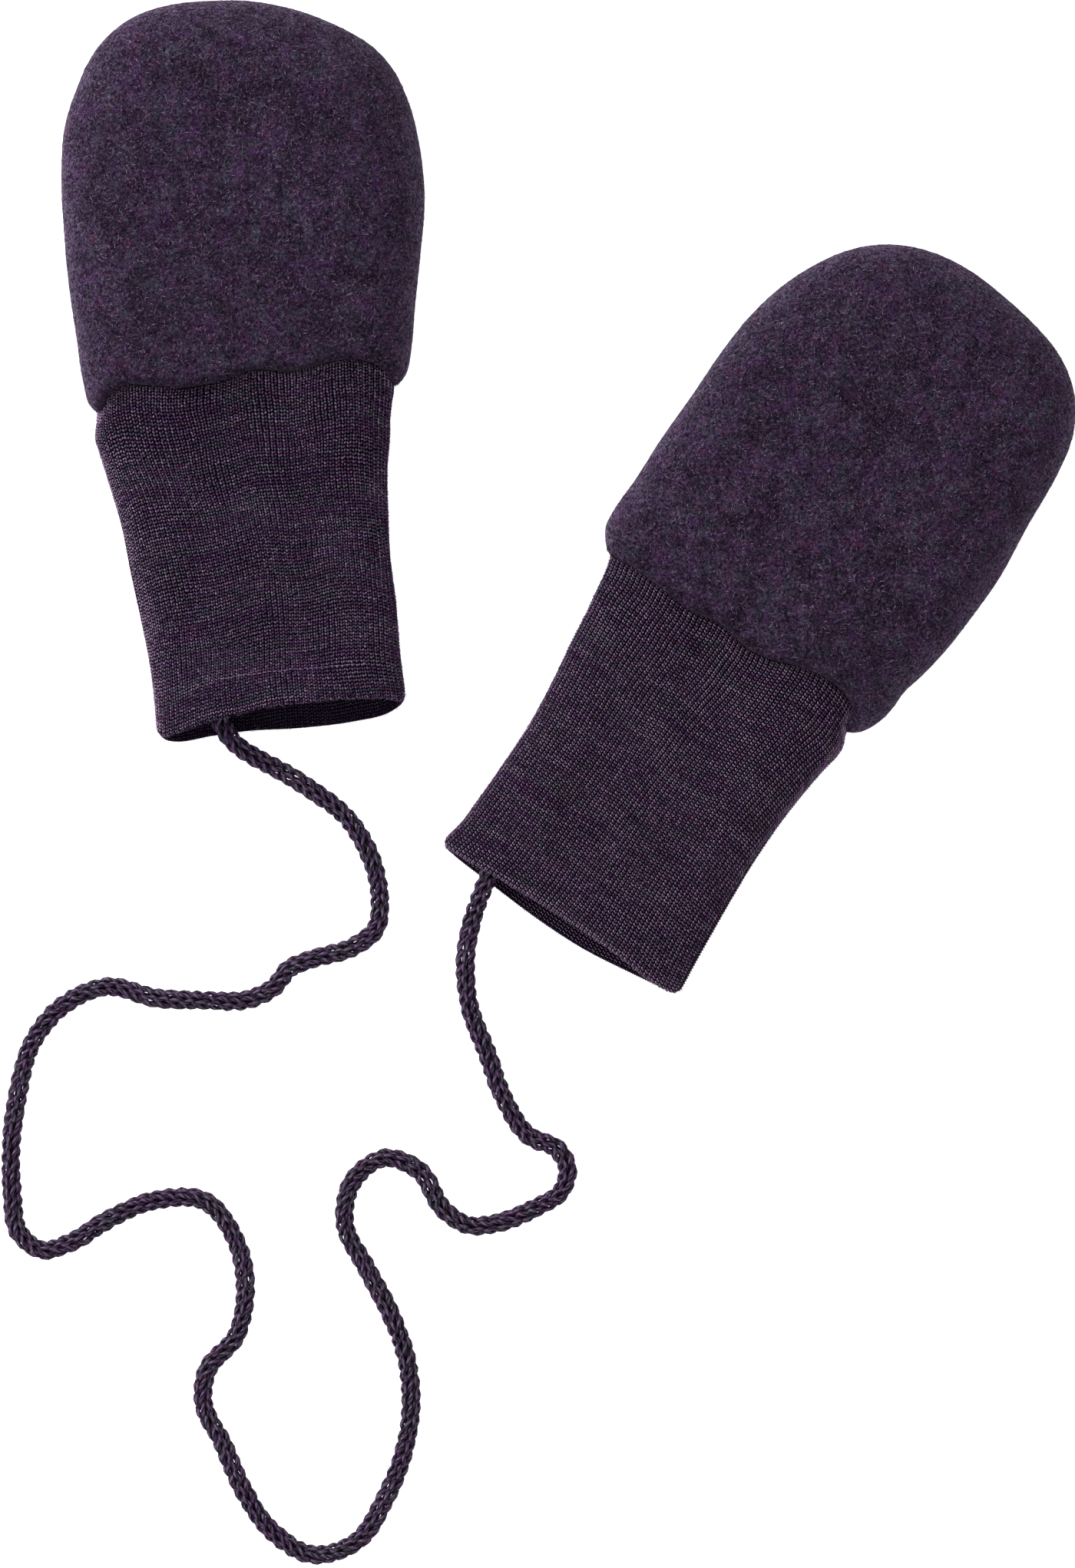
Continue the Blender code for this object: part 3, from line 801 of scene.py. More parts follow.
class Group(Graph):
    """A shader node group."""

    def __init__(self, name: str, inputs: dict) -> None:
        """Start the group.

        Args:
            name: its name.
            inputs: first value of each input, by name, or None where it takes a vector.
        """
        super().__init__(bpy.data.node_groups.new(name, "ShaderNodeTree"))
        for label, value in inputs.items():
            kind = "NodeSocketVector" if value is None else "NodeSocketFloat"
            socket = self.tree.interface.new_socket(name=label, in_out="INPUT", socket_type=kind)
            if value is not None:
                socket.default_value = value
        self.given = self.add("NodeGroupInput")

    def close(self, outputs: dict) -> Tree:
        """Finish the group.

        Args:
            outputs: value of each output, by name.

        Returns:
            The group's tree.
        """
        for label in outputs:
            self.tree.interface.new_socket(name=label, in_out="OUTPUT", socket_type="NodeSocketFloat")
        self.add("NodeGroupOutput", outputs)
        return self.tree


class Effects:
    """Node groups that the finishes share, each made once."""

    def __init__(self) -> None:
        """Make every group."""
        self.tangle = self.make_tangle()
        self.melange = self.make_melange()
        self.plies = self.make_plies()

    @staticmethod
    def make_tangle() -> Tree:
        """Curled fibres that lie over each other, with pits between them.

        Returns:
            A group: masks of the fibres and of the pits, and the fibres' height.
        """
        layers = ((1.0, 0.0, 1.0), (1.37, 11.3, 0.8), (1.9, 27.1, 0.6))  # size, shift, level
        graph = Group("fibre tangle", {"Vector": None, "Scale": 900.0, "Width": 0.05})
        spot, scale, width = graph.given["Vector"], graph.given["Scale"], graph.given["Width"]
        strands = 0.0
        for size, shift, level in layers:
            moved = graph.add("ShaderNodeVectorMath", {0: spot, 1: (shift, shift, shift)})[0]
            value = graph.noise(moved, graph.times(scale, size), 1.0, Distortion=0.8)
            off = graph.math("ABSOLUTE", graph.minus(value, 0.5))
            line = graph.range(graph.over(off, width), 1.0, 0.0)
            strands = graph.math("MAXIMUM", strands, graph.times(line, level))
        pits = graph.range(graph.noise(spot, graph.times(scale, 1.25), 1.0), 0.58, 0.40)
        return graph.close({"Strands": strands, "Pits": pits, "Height": graph.minus(strands, pits)})

    @staticmethod
    def make_melange() -> Tree:
        """Wool of three dye lots blended before spinning.

        Returns:
            A group: patches of the second and third lot, fine flecks and soft shade.
        """
        graph = Group("melange", {"Vector": None, "Patches": 200.0, "Flecks": 1500.0})
        spot, patches, flecks = graph.given["Vector"], graph.given["Patches"], graph.given["Flecks"]
        moved = graph.add("ShaderNodeVectorMath", {0: spot, 1: (3.1, 1.7, 0.4)})[0]
        patch = graph.noise(spot, patches, 4.0, Roughness=0.66, Distortion=0.7)
        berry = graph.noise(moved, graph.times(patches, 1.5), 3.0, Roughness=0.6)
        fleck = graph.noise(spot, flecks, 2.0, Roughness=0.7)
        shade = graph.noise(moved, graph.times(patches, 0.8), 6.0, Roughness=0.8)
        steps = {"Patch": (patch, 0.38, 0.62), "Berry": (berry, 0.50, 0.68), "Fleck": (fleck, 0.34, 0.66)}
        steps["Shade"] = (shade, 0.38, 0.62)
        return graph.close({label: graph.range(*step) for label, step in steps.items()})

    @staticmethod
    def make_plies() -> Tree:
        """Plies twisted round each other along a strand's own map.

        Returns:
            A group: how far each place is from the groove between two plies, and loose hairs.
        """
        graph = Group("twisted plies", {"Along": 0.0, "Round": 0.0, "Plies": 3.0, "Lay": 2.6})
        along, around, plies, lay = (graph.given[label] for label in ("Along", "Round", "Plies", "Lay"))
        turn = graph.plus(graph.times(around, plies), graph.over(along, lay))
        ply = graph.times(graph.math("PINGPONG", turn, 0.5), 2.0)
        hair = graph.noise(graph.vector(graph.times(along, 0.45), turn), 2.4, 3.0, Roughness=0.75)
        return graph.close({"Ply": ply, "Hair": graph.range(hair, 0.36, 0.66)})


class Surface(Graph):
    """The nodes of a material on one Principled shader."""

    def __init__(self, name: str, values: dict) -> None:
        """Start the material.

        Args:
            name: its name.
            values: constant inputs of the shader.
        """
        self.material = bpy.data.materials.new(name)
        self.material.use_nodes = True
        super().__init__(self.material.node_tree)
        self.shader = self.tree.nodes["Principled BSDF"]
        for label, value in values.items():
            self.shader.inputs[label].default_value = value

    def spot(self) -> Socket:
        """The piece's Object coordinates."""
        return self.add("ShaderNodeTexCoord")["Object"]

    def marks(self, name: str) -> Outputs:
        """X, Y and Z of a piece's own attribute."""
        return self.parts(self.add("ShaderNodeAttribute", attribute_name=name)["Vector"])

    def colour(self, value: object) -> None:
        """Give the shader its colour."""
        self.feed(self.shader.inputs["Base Color"], value)

    def bump(self, height: object, distance: float, strength: float) -> None:
        """Turn the shader's normal with a small relief, its distance in metres."""
        inputs = {"Height": height, "Distance": distance, "Strength": strength}
        self.feed(self.shader.inputs["Normal"], self.add("ShaderNodeBump", inputs)["Normal"])


def rgb(red: float, green: float, blue: float) -> tuple:
    """A colour of three screen values from 0 to 255, as the shader counts it."""
    linear = [((x / 255 + 0.055) / 1.055) ** 2.4 if x > 10 else x / 255 / 12.92 for x in (red, green, blue)]
    return (*linear, 1.0)


@dataclass(frozen=True)
class Wool:
    """Wool of three dye lots, with a dark tone mostly for painted shade and a pale one for painted
    highlights and paler fibres.
    """

    effects: Effects
    plum: tuple
    slate: tuple
    berry: tuple
    dark: tuple
    light: tuple
    sheen_tint: tuple = rgb(205, 185, 230)
    tangle_width: float = 0.06

    def surface(
        self, name: str, roughness: float, specular: float, sheen: float, spread: float = 0.3
    ) -> Surface:
        """Start a material of this wool.

        Args:
            name: the material's name.
            roughness: of its shine.
            specular: level of its shine.
            sheen: weight of its sheen.
            spread: roughness of its sheen.

        Returns:
            The material's surface.
        """
        values = {"Roughness": roughness, "Specular IOR Level": specular, "Sheen Weight": sheen}
        return Surface(name, {**values, "Sheen Roughness": spread, "Sheen Tint": self.sheen_tint})

    def dyed(self, surface: Surface, second: object, third: object) -> Socket:
        """Colour of the blend, from the shares of its second and its third dye lot."""
        return surface.mix(third, surface.mix(second, self.plum, self.slate), self.berry)

    def toned(self, surface: Surface, tone: object, wool: object, low: tuple, high: tuple) -> Socket:
        """Colour of fibres that each have a tone.

        Args:
            surface: the material's surface.
            tone: the fibre's tone.
            wool: colour of the wool itself.
            low: tones of the darkest fibre and of the plain wool.
            high: tones of the plain wool and of the palest fibre.

        Returns:
            The colour.
        """
        darker = surface.mix(surface.range(tone, *low), self.dark, wool)
        return surface.mix(surface.range(tone, *high), darker, self.light)


@dataclass(frozen=True)
class FleeceFinish(Wool):
    """Brushed wool fleece: a felted ground and the nap on it."""

    plum: tuple = rgb(61, 31, 71)
    slate: tuple = rgb(54, 53, 68)
    berry: tuple = rgb(76, 30, 56)
    dark: tuple = rgb(13, 2, 19)
    light: tuple = rgb(122, 107, 129)
    sheen_tint: tuple = rgb(205, 180, 230)
    patches_per_metre: float = 230.0
    flecks_per_metre: float = 1500.0
    curls_per_metre: float = 1150.0
    berry_share: float = 0.6
    shade_gain: float = 1.1
    least_shade: float = 0.08
    # painted rim light along the panel's edges: its base under the flecks, and its share
    rim_light_base: float = 0.35
    rim_light_share: float = 0.5
    # painted shade in the pits between the fibres and painted highlight on the strands over them
    pit_gain: float = 0.75
    least_pit: float = 0.3
    lit_share: float = 0.4
    # painted shade of nap fibres that lie over a pit
    nap_pits: float = 0.3
    nap_low: tuple = (-0.1, 0.45)
    nap_high: tuple = (0.45, 1.5)

    def wool(self, surface: Surface, spot: object, mark: str) -> tuple:
        """Blended colour of the wool, with painted shade beside the seam and painted rim light along the
        edges.

        Args:
            surface: the material's surface.
            spot: the piece's coordinates.
            mark: the mesh's attribute: its own value, nearness to the seam and to the rim.

        Returns:
            The colour, the melange's flecks and the mark's own value.
        """
        rates = {"Patches": self.patches_per_metre, "Flecks": self.flecks_per_metre}
        melange = surface.use(self.effects.melange, Vector=spot, **rates)
        blend = self.dyed(surface, melange["Patch"], surface.times(melange["Berry"], self.berry_share))
        part, near_seam, near_rim = surface.marks(mark)
        shade = surface.plus(surface.times(melange["Shade"], self.shade_gain), self.least_shade)
        # painted shade: the wool goes dark beside the cuff's seam
        shaded = surface.mix(surface.minus(shade, near_seam), self.dark, blend)
        # painted rim light: paler wool along the rim, flecked
        painted_rim_light = surface.times(near_rim, surface.plus(melange["Fleck"], self.rim_light_base))
        return surface.mix(surface.times(painted_rim_light, self.rim_light_share), shaded, self.light), melange["Fleck"], part

    def tangle(self, surface: Surface, spot: object) -> Outputs:
        """Masks of the nap's own fibres."""
        inputs = {"Scale": self.curls_per_metre, "Width": self.tangle_width}
        return surface.use(self.effects.tangle, Vector=spot, **inputs)

    def ground(self) -> Material:
        """Felted ground under the nap.

        Returns:
            The material.
        """
        surface = self.surface("fleece ground", 0.95, 0.04, 0.12, 0.25)
        spot = surface.spot()
        wool, fleck, _ = self.wool(surface, spot, "stitch")
        tangle = self.tangle(surface, spot)
        # painted shade in the pits and painted highlight on the strands
        pits = surface.plus(surface.times(tangle["Pits"], self.pit_gain), self.least_pit)
        lit = surface.mix(surface.times(fleck, self.lit_share), wool, self.light)
        surface.colour(surface.mix(tangle["Strands"], surface.mix(pits, wool, self.dark), lit))
        surface.bump(tangle["Height"], 0.0003, 0.8)
        return surface.material

    def nap(self) -> Material:
        """Loose fibres of the nap, each with its own tone and painted shade at its root, over pits and
        beside the seam.

        Returns:
            The material.
        """
        surface = self.surface("fleece nap", 0.8, 0.08, 0.12)
        spot = surface.spot()
        wool, _, tone = self.wool(surface, spot, "fibre")
        # painted shade: fibres over the ground's pits are darker
        tone = surface.minus(tone, surface.times(self.tangle(surface, spot)["Pits"], self.nap_pits))
        surface.colour(self.toned(surface, tone, wool, self.nap_low, self.nap_high))
        return surface.material


@dataclass(frozen=True)
class KnitFinish(Wool):
    """Fine melange knit of the cuffs: its stitches and the ground behind them."""

    plum: tuple = rgb(62, 32, 71)
    slate: tuple = rgb(57, 55, 67)
    berry: tuple = rgb(84, 32, 62)
    # painted shade between the stitches and at the tucked ends of their legs
    dark: tuple = rgb(12, 2, 17)
    light: tuple = rgb(126, 106, 129)
    # darker copies of the yarn's lots: painted shade of the knit's back
    ground_shade_plum: tuple = rgb(26, 18, 34)
    ground_shade_slate: tuple = rgb(24, 23, 32)
    streaks: tuple = (  # length in wales, height in courses, shift that tells it from the others
        (6.0, 0.95, 0.0),
        (20.0, 2.0, 7.3),
        (7.0, 1.1, 17.9),
        (9.0, 0.95, 31.3),
        (24.0, 2.4, 43.7),
    )
    slate_from: tuple = (0.86, 1.14)
    berry_from: tuple = (0.54, 0.70)
    berry_share: float = 0.7
    swing: float = 0.6
    low: tuple = (-0.15, 0.55)
    high: tuple = (0.45, 1.4)

    def stitches(self) -> Material:
        """Yarn of the stitches, its dye lots streaked along the courses.

        Returns:
            The material.
        """
        surface = self.surface("cuff stitches", 0.75, 0.12, 0.12)
        wale, course, tone = surface.marks("stitch")
        noises = []
        for wales, courses, shift in self.streaks:
            where = surface.vector(surface.over(wale, wales), surface.over(course, courses), shift)
            noises.append(surface.noise(where, 1.0, 2.0, Roughness=0.6))
        short, long, red, light, wide = noises
        slate = surface.range(surface.plus(short, long), *self.slate_from)
        berry = surface.times(surface.range(red, *self.berry_from), self.berry_share)
        swing = surface.minus(surface.times(surface.plus(light, wide), self.swing), self.swing)
        wool = self.dyed(surface, slate, berry)
        # the tone carries the painted light and shade laid on each leg
        surface.colour(self.toned(surface, surface.plus(tone, swing), wool, self.low, self.high))
        surface.bump(surface.noise(surface.spot(), 5200.0, 1.0), 0.00008, 0.7)
        return surface.material

    def ground(self) -> Material:
        """Back of the knit that shows between the stitches and inside the cuff, far darker than its yarn as
        painted shade.

        Returns:
            The material.
        """
        surface = Surface("cuff ground", {"Roughness": 0.95, "Specular IOR Level": 0.02})
        spot = surface.spot()
        melange = surface.use(self.effects.melange, Vector=spot, Patches=260.0, Flecks=1800.0)
        tangle = surface.use(self.effects.tangle, Vector=spot, Scale=1500.0, Width=self.tangle_width)
        wool = surface.mix(melange["Patch"], self.ground_shade_plum, self.ground_shade_slate)
        surface.colour(surface.mix(tangle["Strands"], self.dark, wool))
        surface.bump(tangle["Height"], 0.0002, 0.8)
        return surface.material

    def fuzz(self) -> Material:
        """Fine hairs that stand off the knit.

        Returns:
            The material.
        """
        surface = self.surface("cuff fuzz", 0.8, 0.1, 0.3)
        tone = surface.range(surface.marks("fibre")["X"], 0.0, 1.0)
        surface.colour(surface.mix(tone, self.plum, self.light))
        return surface.material


@dataclass(frozen=True)
class YarnFinish(Wool):
    """Plied yarn of the cord."""

    plum: tuple = rgb(63, 35, 74)
    slate: tuple = rgb(60, 54, 69)
    berry: tuple = rgb(72, 32, 62)
    dark: tuple = rgb(14, 5, 20)
    light: tuple = rgb(124, 104, 132)
    berry_share: float = 0.6
    hair_share: float = 0.5
    plies: float = 2.0
    lay_mm: float = 2.2

    def yarn(self) -> Material:
        """Twisted plies with fine hairs, painted shade in grooves and inner turns, painted highlight on
        crests.

        Returns:
            The material.
        """
        surface = self.surface("cord yarn", 0.6, 0.12, 0.08)
        turns = surface.parts(surface.add("ShaderNodeUVMap", uv_map="strand")["UV"])
        place_on = {"Along": turns["X"], "Round": turns["Y"]}
        twisted = surface.use(self.effects.plies, **place_on, Plies=self.plies, Lay=self.lay_mm)
        melange = surface.use(self.effects.melange, Vector=surface.spot(), Patches=190.0, Flecks=2200.0)
        blend = self.dyed(surface, melange["Patch"], surface.times(melange["Berry"], self.berry_share))
        # painted shade in the grooves between the plies
        body = surface.mix(surface.range(twisted["Ply"], 0.05, 0.75), self.dark, blend)
        # painted highlight on the ply crests
        painted_crest_highlight = surface.times(surface.range(twisted["Ply"], 0.3, 1.0), twisted["Hair"])
        body = surface.mix(surface.times(painted_crest_highlight, self.hair_share), body, self.light)
        # painted shade where the yarn turns into the cord
        outer = surface.range(surface.marks("stitch")["X"], 0.0, 0.9)
        surface.colour(surface.mix(outer, self.dark, body))
        hairs = surface.times(twisted["Hair"], self.hair_share)
        surface.bump(surface.plus(twisted["Ply"], hairs), 0.00025, 0.8)
        return surface.material


@dataclass(frozen=True)
class FloorFinish:
    """Translucent white sheet, lit from below too."""

    effects: Effects
    white: tuple = (0.60, 0.60, 0.60, 1.0)
    grain: tuple = (0.58, 0.58, 0.585, 1.0)
    glow: float = 0.85

    def paper(self) -> Material:
        """Matt sheet with the faintest grain and a glow of its own.

        Returns:
            The material.
        """
        values = {"Roughness": 0.9, "Specular IOR Level": 0.1, "Emission Strength": self.glow}
        surface = Surface("paper", {**values, "Emission Color": (1.0, 1.0, 1.0, 1.0)})
        melange = surface.use(self.effects.melange, Vector=surface.spot(), Patches=40.0, Flecks=3000.0)
        surface.colour(surface.mix(melange["Fleck"], self.white, self.grain))
        return surface.material


def triangles(piece: Piece) -> int:
    """Triangles of a piece's mesh."""
    return sum(len(polygon.vertices) - 2 for polygon in piece.data.polygons)


def finish_piece(piece: Piece, material: Material, node: str = None) -> None:
    """Dress a piece and let it ride on the body.

    Args:
        piece: the new object.
        material: its finish.
        node: the CAD node that it replaces, if it replaces one.
    """
    piece.data.materials.append(material)
    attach(piece, BODY)
    if node:
        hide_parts(node)
    LOG.info("%s: %d triangles", piece.name, triangles(piece))


def skin_area(outer: Array) -> tuple[float, Array]:
    """Area of a grid of points.

    Args:
        outer: columns, rows and x y z.

    Returns:
        The whole area, and that of each cell.
    """
    sides = outer[1:, :-1] - outer[:-1, :-1], outer[:-1, 1:] - outer[:-1, :-1]
    cells = np.linalg.norm(np.cross(*sides), axis=-1)
    return float(cells.sum()), cells


def curled(
    draw: np.random.Generator, foot: Array, up: Array, turn: Array, length: Array, high: object
) -> Array:
    """Lay curled hairs on a cloth.

    Args:
        draw: chance numbers.
        foot: a point on the cloth for each hair.
        up: the cloth's normal there.
        turn: direction of each hair about the z axis.
        length: its length.
        high: the most that a tip stands off, for all or for each.

    Returns:
        Four stations of each hair.
    """
    count = len(foot)
    ahead = np.stack([np.cos(turn), np.sin(turn), 0 * turn], axis=-1)
    ahead = unit(ahead - up * (ahead * up).sum(axis=-1, keepdims=True))
    aside = np.cross(up, ahead)
    curl = length * draw.uniform(-HAIR_CURL, HAIR_CURL, count)
    low, tip = draw.uniform(*HAIR_FOOT, count), draw.uniform(0.0, high, count)
    share = np.linspace(0, 1, 4)
    forward = (length[:, None] * (share - HAIR_BEHIND))[..., None] * ahead[:, None]
    bent = (curl[:, None] * 4 * share * (1 - share))[..., None] * aside[:, None]
    rise = low[:, None] + (tip - low)[:, None] * share + HAIR_ARCH * np.sin(math.pi * share)
    return foot[:, None] + forward + bent + rise[..., None] * up[:, None]


def seam_line(pattern: Pattern, share: Array, front: bool) -> Array:
    """Find a hand panel's lower edge.

    Args:
        pattern: the mitten's tables.
        share: shares of the way across.
        front: whether the panel is the upper one.

    Returns:
        Its v at each share.
    """
    if front:
        return read_table(pattern.seam_front, share)
    first, last = pattern.seam_front[0][1], pattern.seam_front[-1][1]
    return first + (last - first) * share


def cuff_skin(
    pattern: Pattern, share: Array, v: Array, front: bool, creased: bool = False
) -> tuple[Array, Array]:
    """Point of the cuff's outside.

    Args:
        pattern: the mitten's tables.
        share: share across.
        v: place along the mitten.
        front: the upper half, or else the lower.
        creased: with the finer creases too.

    Returns:
        The points, and the vertical part of their normals.
    """
    left, right, floor, fold, crown = np.moveaxis(read_table(pattern.cuff_sections, v), -1, 0)
    u = left + (right - left) * share
    inset = np.minimum(share, 1 - share) * (right - left)
    if front:
        rise, reach = crown - fold, CUFF_FRONT_REACH
        shape = bulge(inset, reach)
        troughs = (*pattern.cuff_dents, *pattern.cuff_creases) if creased else pattern.cuff_dents
        z = fold + rise * shape
        z = z - sunk(troughs, u, v) * shape
        if creased:
            z = z + CUFF_RIPPLE * ripple(u, CUFF_RIPPLE_STRETCH * v, CUFF_RIPPLE_SIZE, pattern.wales) * shape
    else:
        rise, reach = fold - np.maximum(floor, 0), CUFF_BACK_REACH
        z = fold - rise * bulge(inset, reach)
    return np.stack([u, v + 0 * u, z], axis=-1), upness(inset, reach, rise)


@dataclass
class HandPanel:
    """One fleece panel of a hand, with its nap."""

    pattern: Pattern
    face: Face
    finish: FleeceFinish
    flat_width: float = 92.0
    flat_length: float = 100.0
    across: int = 80
    rows: int = 64
    lump_height: float = 0.13
    lump_size: float = 9.0
    lump_fade: tuple = (4.0, 5.0)  # from the outline and from the seam
    fibres: int = 19000
    fibre_length: float = 1.0
    fibre_half_width: float = 0.082
    fibre_widths: tuple = (0.6, 1.25)  # thinnest and thickest, shares of that
    fibre_flatness: float = 0.8
    fibre_rise: float = 0.26
    fibre_tone: tuple = (0.28, 0.62)  # its middle and its spread
    # painted shade at a fibre's root, paler towards its tip, by station
    root_shade_along: tuple = (-0.4, 0.1, 0.15)
    edge_fibres: int = 500
    edge_turn: float = 0.7  # spread in radians
    edge_shares: tuple = (0.8, 0.6)  # length and width of an edge fibre against another
    edge_calm: float = 0.65  # how much lower and finer the nap is at the rim
    # painted shade beside the cuff's seam: how much darker the nap is there, and the reach of that shade
    seam_painted_shade: float = 0.9
    seam_shade: float = 1.9
    # reach of the painted rim light, and of the calmer nap, at the rim
    rim_reach: float = 1.7
    seed: int = 11

    @property
    def front(self) -> bool:
        """Whether this is the upper panel."""
        return self.face is Face.FRONT

    def plan(self) -> tuple[Array, Array]:
        """Lay out the grid from the seam round to the fingertips.

        Returns:
            u and v of each point, and each column's share across.
        """
        half = self.across // 2
        steps = 1 - np.cos(np.linspace(0, math.pi / 2, self.rows + 1))
        outline = np.array(self.pattern.hand_outline)
        left = along_route(outline, steps / 2)
        right = along_route(outline, 1 - steps / 2)
        base, tip = (left[0] + right[0]) / 2, left[-1]
        spine = base + (tip - base) * SPINE_SHARE * (1 - (1 - steps[:, None]) ** SPINE_LAG)
        inward = (1 - np.cos(np.linspace(0, math.pi / 2, half + 1)))[:, None, None]
        near = left + (spine - left) * inward
        far = right + (spine - right) * inward
        plan = np.concatenate([near, far[-2::-1]])
        share = (1 - np.cos(np.linspace(0, math.pi, self.across + 1))) / 2
        straight = left[0, 1] + (right[0, 1] - left[0, 1]) * share
        seam = seam_line(self.pattern, share, self.front)
        height = plan[..., 1] - straight[:, None]
        plan[..., 1] += (seam - straight)[:, None] * np.clip(1 - height / WAVE_FADE, 0, 1) ** 2
        return plan, share

    def outline_distance(self, plan: Array) -> Array:
        """Distance from each point of the plan to the hand's outline."""
        outline = along_route(self.pattern.hand_outline, np.linspace(0, 1, OUTLINE_SAMPLES))
        return np.array([np.linalg.norm(column[:, None] - outline, axis=-1).min(axis=-1) for column in plan])

    def skins(self) -> tuple[Array, Array, Array]:
        """Work out the panel's two skins.

        Returns:
            Outer points, inner points and outward normals, in the mitten's frame.
        """
        pattern = self.pattern
        plan, share = self.plan()
        u, v = plan[..., 0], plan[..., 1]
        from_seam = v - seam_line(pattern, share, self.front)[:, None]
        edge = self.outline_distance(plan)
        edge[[0, -1]] = 0
        under, up = cuff_skin(pattern, share[:, None], v, self.front)
        if self.front:
            crown = read_table(pattern.hand_crown, v)
            shape = bulge(edge, FRONT_REACH)
            dome = SIDE_SEAM_Z + (crown - SIDE_SEAM_Z) * shape
            dome = dome - sunk((*pattern.hand_dents, *pattern.hand_creases), u, v) * shape
            lip = under[..., 2] + (CUFF_GAP + FLEECE) * up
            rim_z = SIDE_SEAM_Z + SEAM_GAP / 2
        else:
            shape = 1 - bulge(edge, BACK_REACH)
            dome = SIDE_SEAM_Z * shape
            dome = dome + sunk(pattern.back_creases, u, v) * shape
            lip = np.maximum(under[..., 2] - (CUFF_GAP + FLEECE) * up, 0)
            rim_z = SIDE_SEAM_Z - SEAM_GAP / 2
        z = lip + (dome - lip) * ease(from_seam / LIP_BLEND)
        if self.front:
            lumps = ripple(u, v, self.lump_size, self.seed)
            from_edge, from_lip = self.lump_fade
            z += self.lump_height * lumps * ease(edge / from_edge) * ease(from_seam / from_lip)
        on_rim = edge == 0
        z[on_rim] = rim_z
        full = np.stack([u, v, z], axis=-1)
        if not self.front:
            full = full[::-1]
            on_rim, from_seam = on_rim[::-1], from_seam[::-1]
        outward = normals(full, toe=True)
        outward[on_rim, 2] = 0
        outward = unit(outward)
        thick = FLEECE_LIP + (FLEECE - FLEECE_LIP) * bulge(from_seam, LIP_LENGTH)
        return full - (FLEECE - thick)[..., None] * outward, full - FLEECE * outward, outward

    def nearness(self, outer: Array) -> Array:
        """Find the places beside the cuff's seam and along the panel's rim, where the fleece gets painted
        shade and painted rim light.

        Args:
            outer: the panel's outer points.

        Returns:
            Three values for each point: 0, nearness to the seam and to the rim, 1 on them.
        """
        seam = bell(np.linalg.norm(outer - outer[:, :1], axis=-1), self.seam_shade)
        rim = np.exp(-self.outline_distance(outer[..., :2]) / self.rim_reach)
        return np.stack([0 * seam, seam, rim * (1 - seam)], axis=-1)

    def nap(self, outer: Array, outward: Array, name: str) -> Piece:
        """Lay the nap's fibres over the panel.

        Args:
            outer: the panel's outer points.
            outward: their normals.
            name: the new object's name.

        Returns:
            The nap as one object.
        """
        draw = np.random.default_rng(self.seed)
        cells = skin_area(outer)[1]
        chosen = draw.choice(cells.size, self.fibres, p=(cells / cells.sum()).ravel())
        i, j = np.divmod(chosen, cells.shape[1])
        column, row = i + draw.random(self.fibres), j + draw.random(self.fibres)
        rim = draw.random(self.edge_fibres) * (outer.shape[0] - 1)
        column, row = np.r_[column, rim], np.r_[row, np.zeros(self.edge_fibres)]
        foot, up = read_grid(outer, column, row), unit(read_grid(outward, column, row))
        count, at_edge = len(foot), slice(self.fibres, None)
        longer, wider = self.edge_shares
        turn = draw.random(count) * 2 * math.pi
        turn[at_edge] = draw.normal(-math.pi / 2, self.edge_turn, self.edge_fibres)
        length = self.fibre_length * draw.uniform(*HAIR_LENGTHS, count)
        length[at_edge] *= longer
        near = read_grid(self.nearness(outer), column, row)[:, None]
        calm = 1 - self.edge_calm * near[..., 2]
        paths = curled(draw, foot, up, turn, length, self.fibre_rise * calm[:, 0])[:, (0, 1, 3)]
        wide = self.fibre_half_width * draw.uniform(*self.fibre_widths, (count, 1)) * calm * np.ones(3)
        wide[at_edge] *= wider
        tone = draw.normal(*self.fibre_tone, (count, 1)) + np.array(self.root_shade_along)
        # painted shade: the nap beside the seam is darker
        tone = tone - self.seam_painted_shade * near[..., 1]
        marks = near + np.stack([tone, 0 * tone, 0 * tone], axis=-1)
        above = self.pattern.turned(np.repeat(up[:, None], 3, axis=1))
        size = wide * MM
        strands = Strands(self.pattern.to_world(paths), above, size, size * self.fibre_flatness)
        return strands.build(name, marks, "fibre")

    def build(self) -> list[Piece]:
        """Build and dress the panel.

        Returns:
            The ground and its nap.
        """
        outer, inner, outward = self.skins()
        stem = f"{self.pattern.name}_{self.face.value}"
        node = f"{self.pattern.name}_hand_{self.face.value}"
        to_world = self.pattern.to_world
        ground = shell(f"{stem}_fleece", to_world(outer), to_world(inner), self.nearness(outer))
        nap = self.nap(outer, outward, f"{stem}_nap")
        finish_piece(ground, self.finish.ground(), node)
        finish_piece(nap, self.finish.nap())
        return [ground, nap]


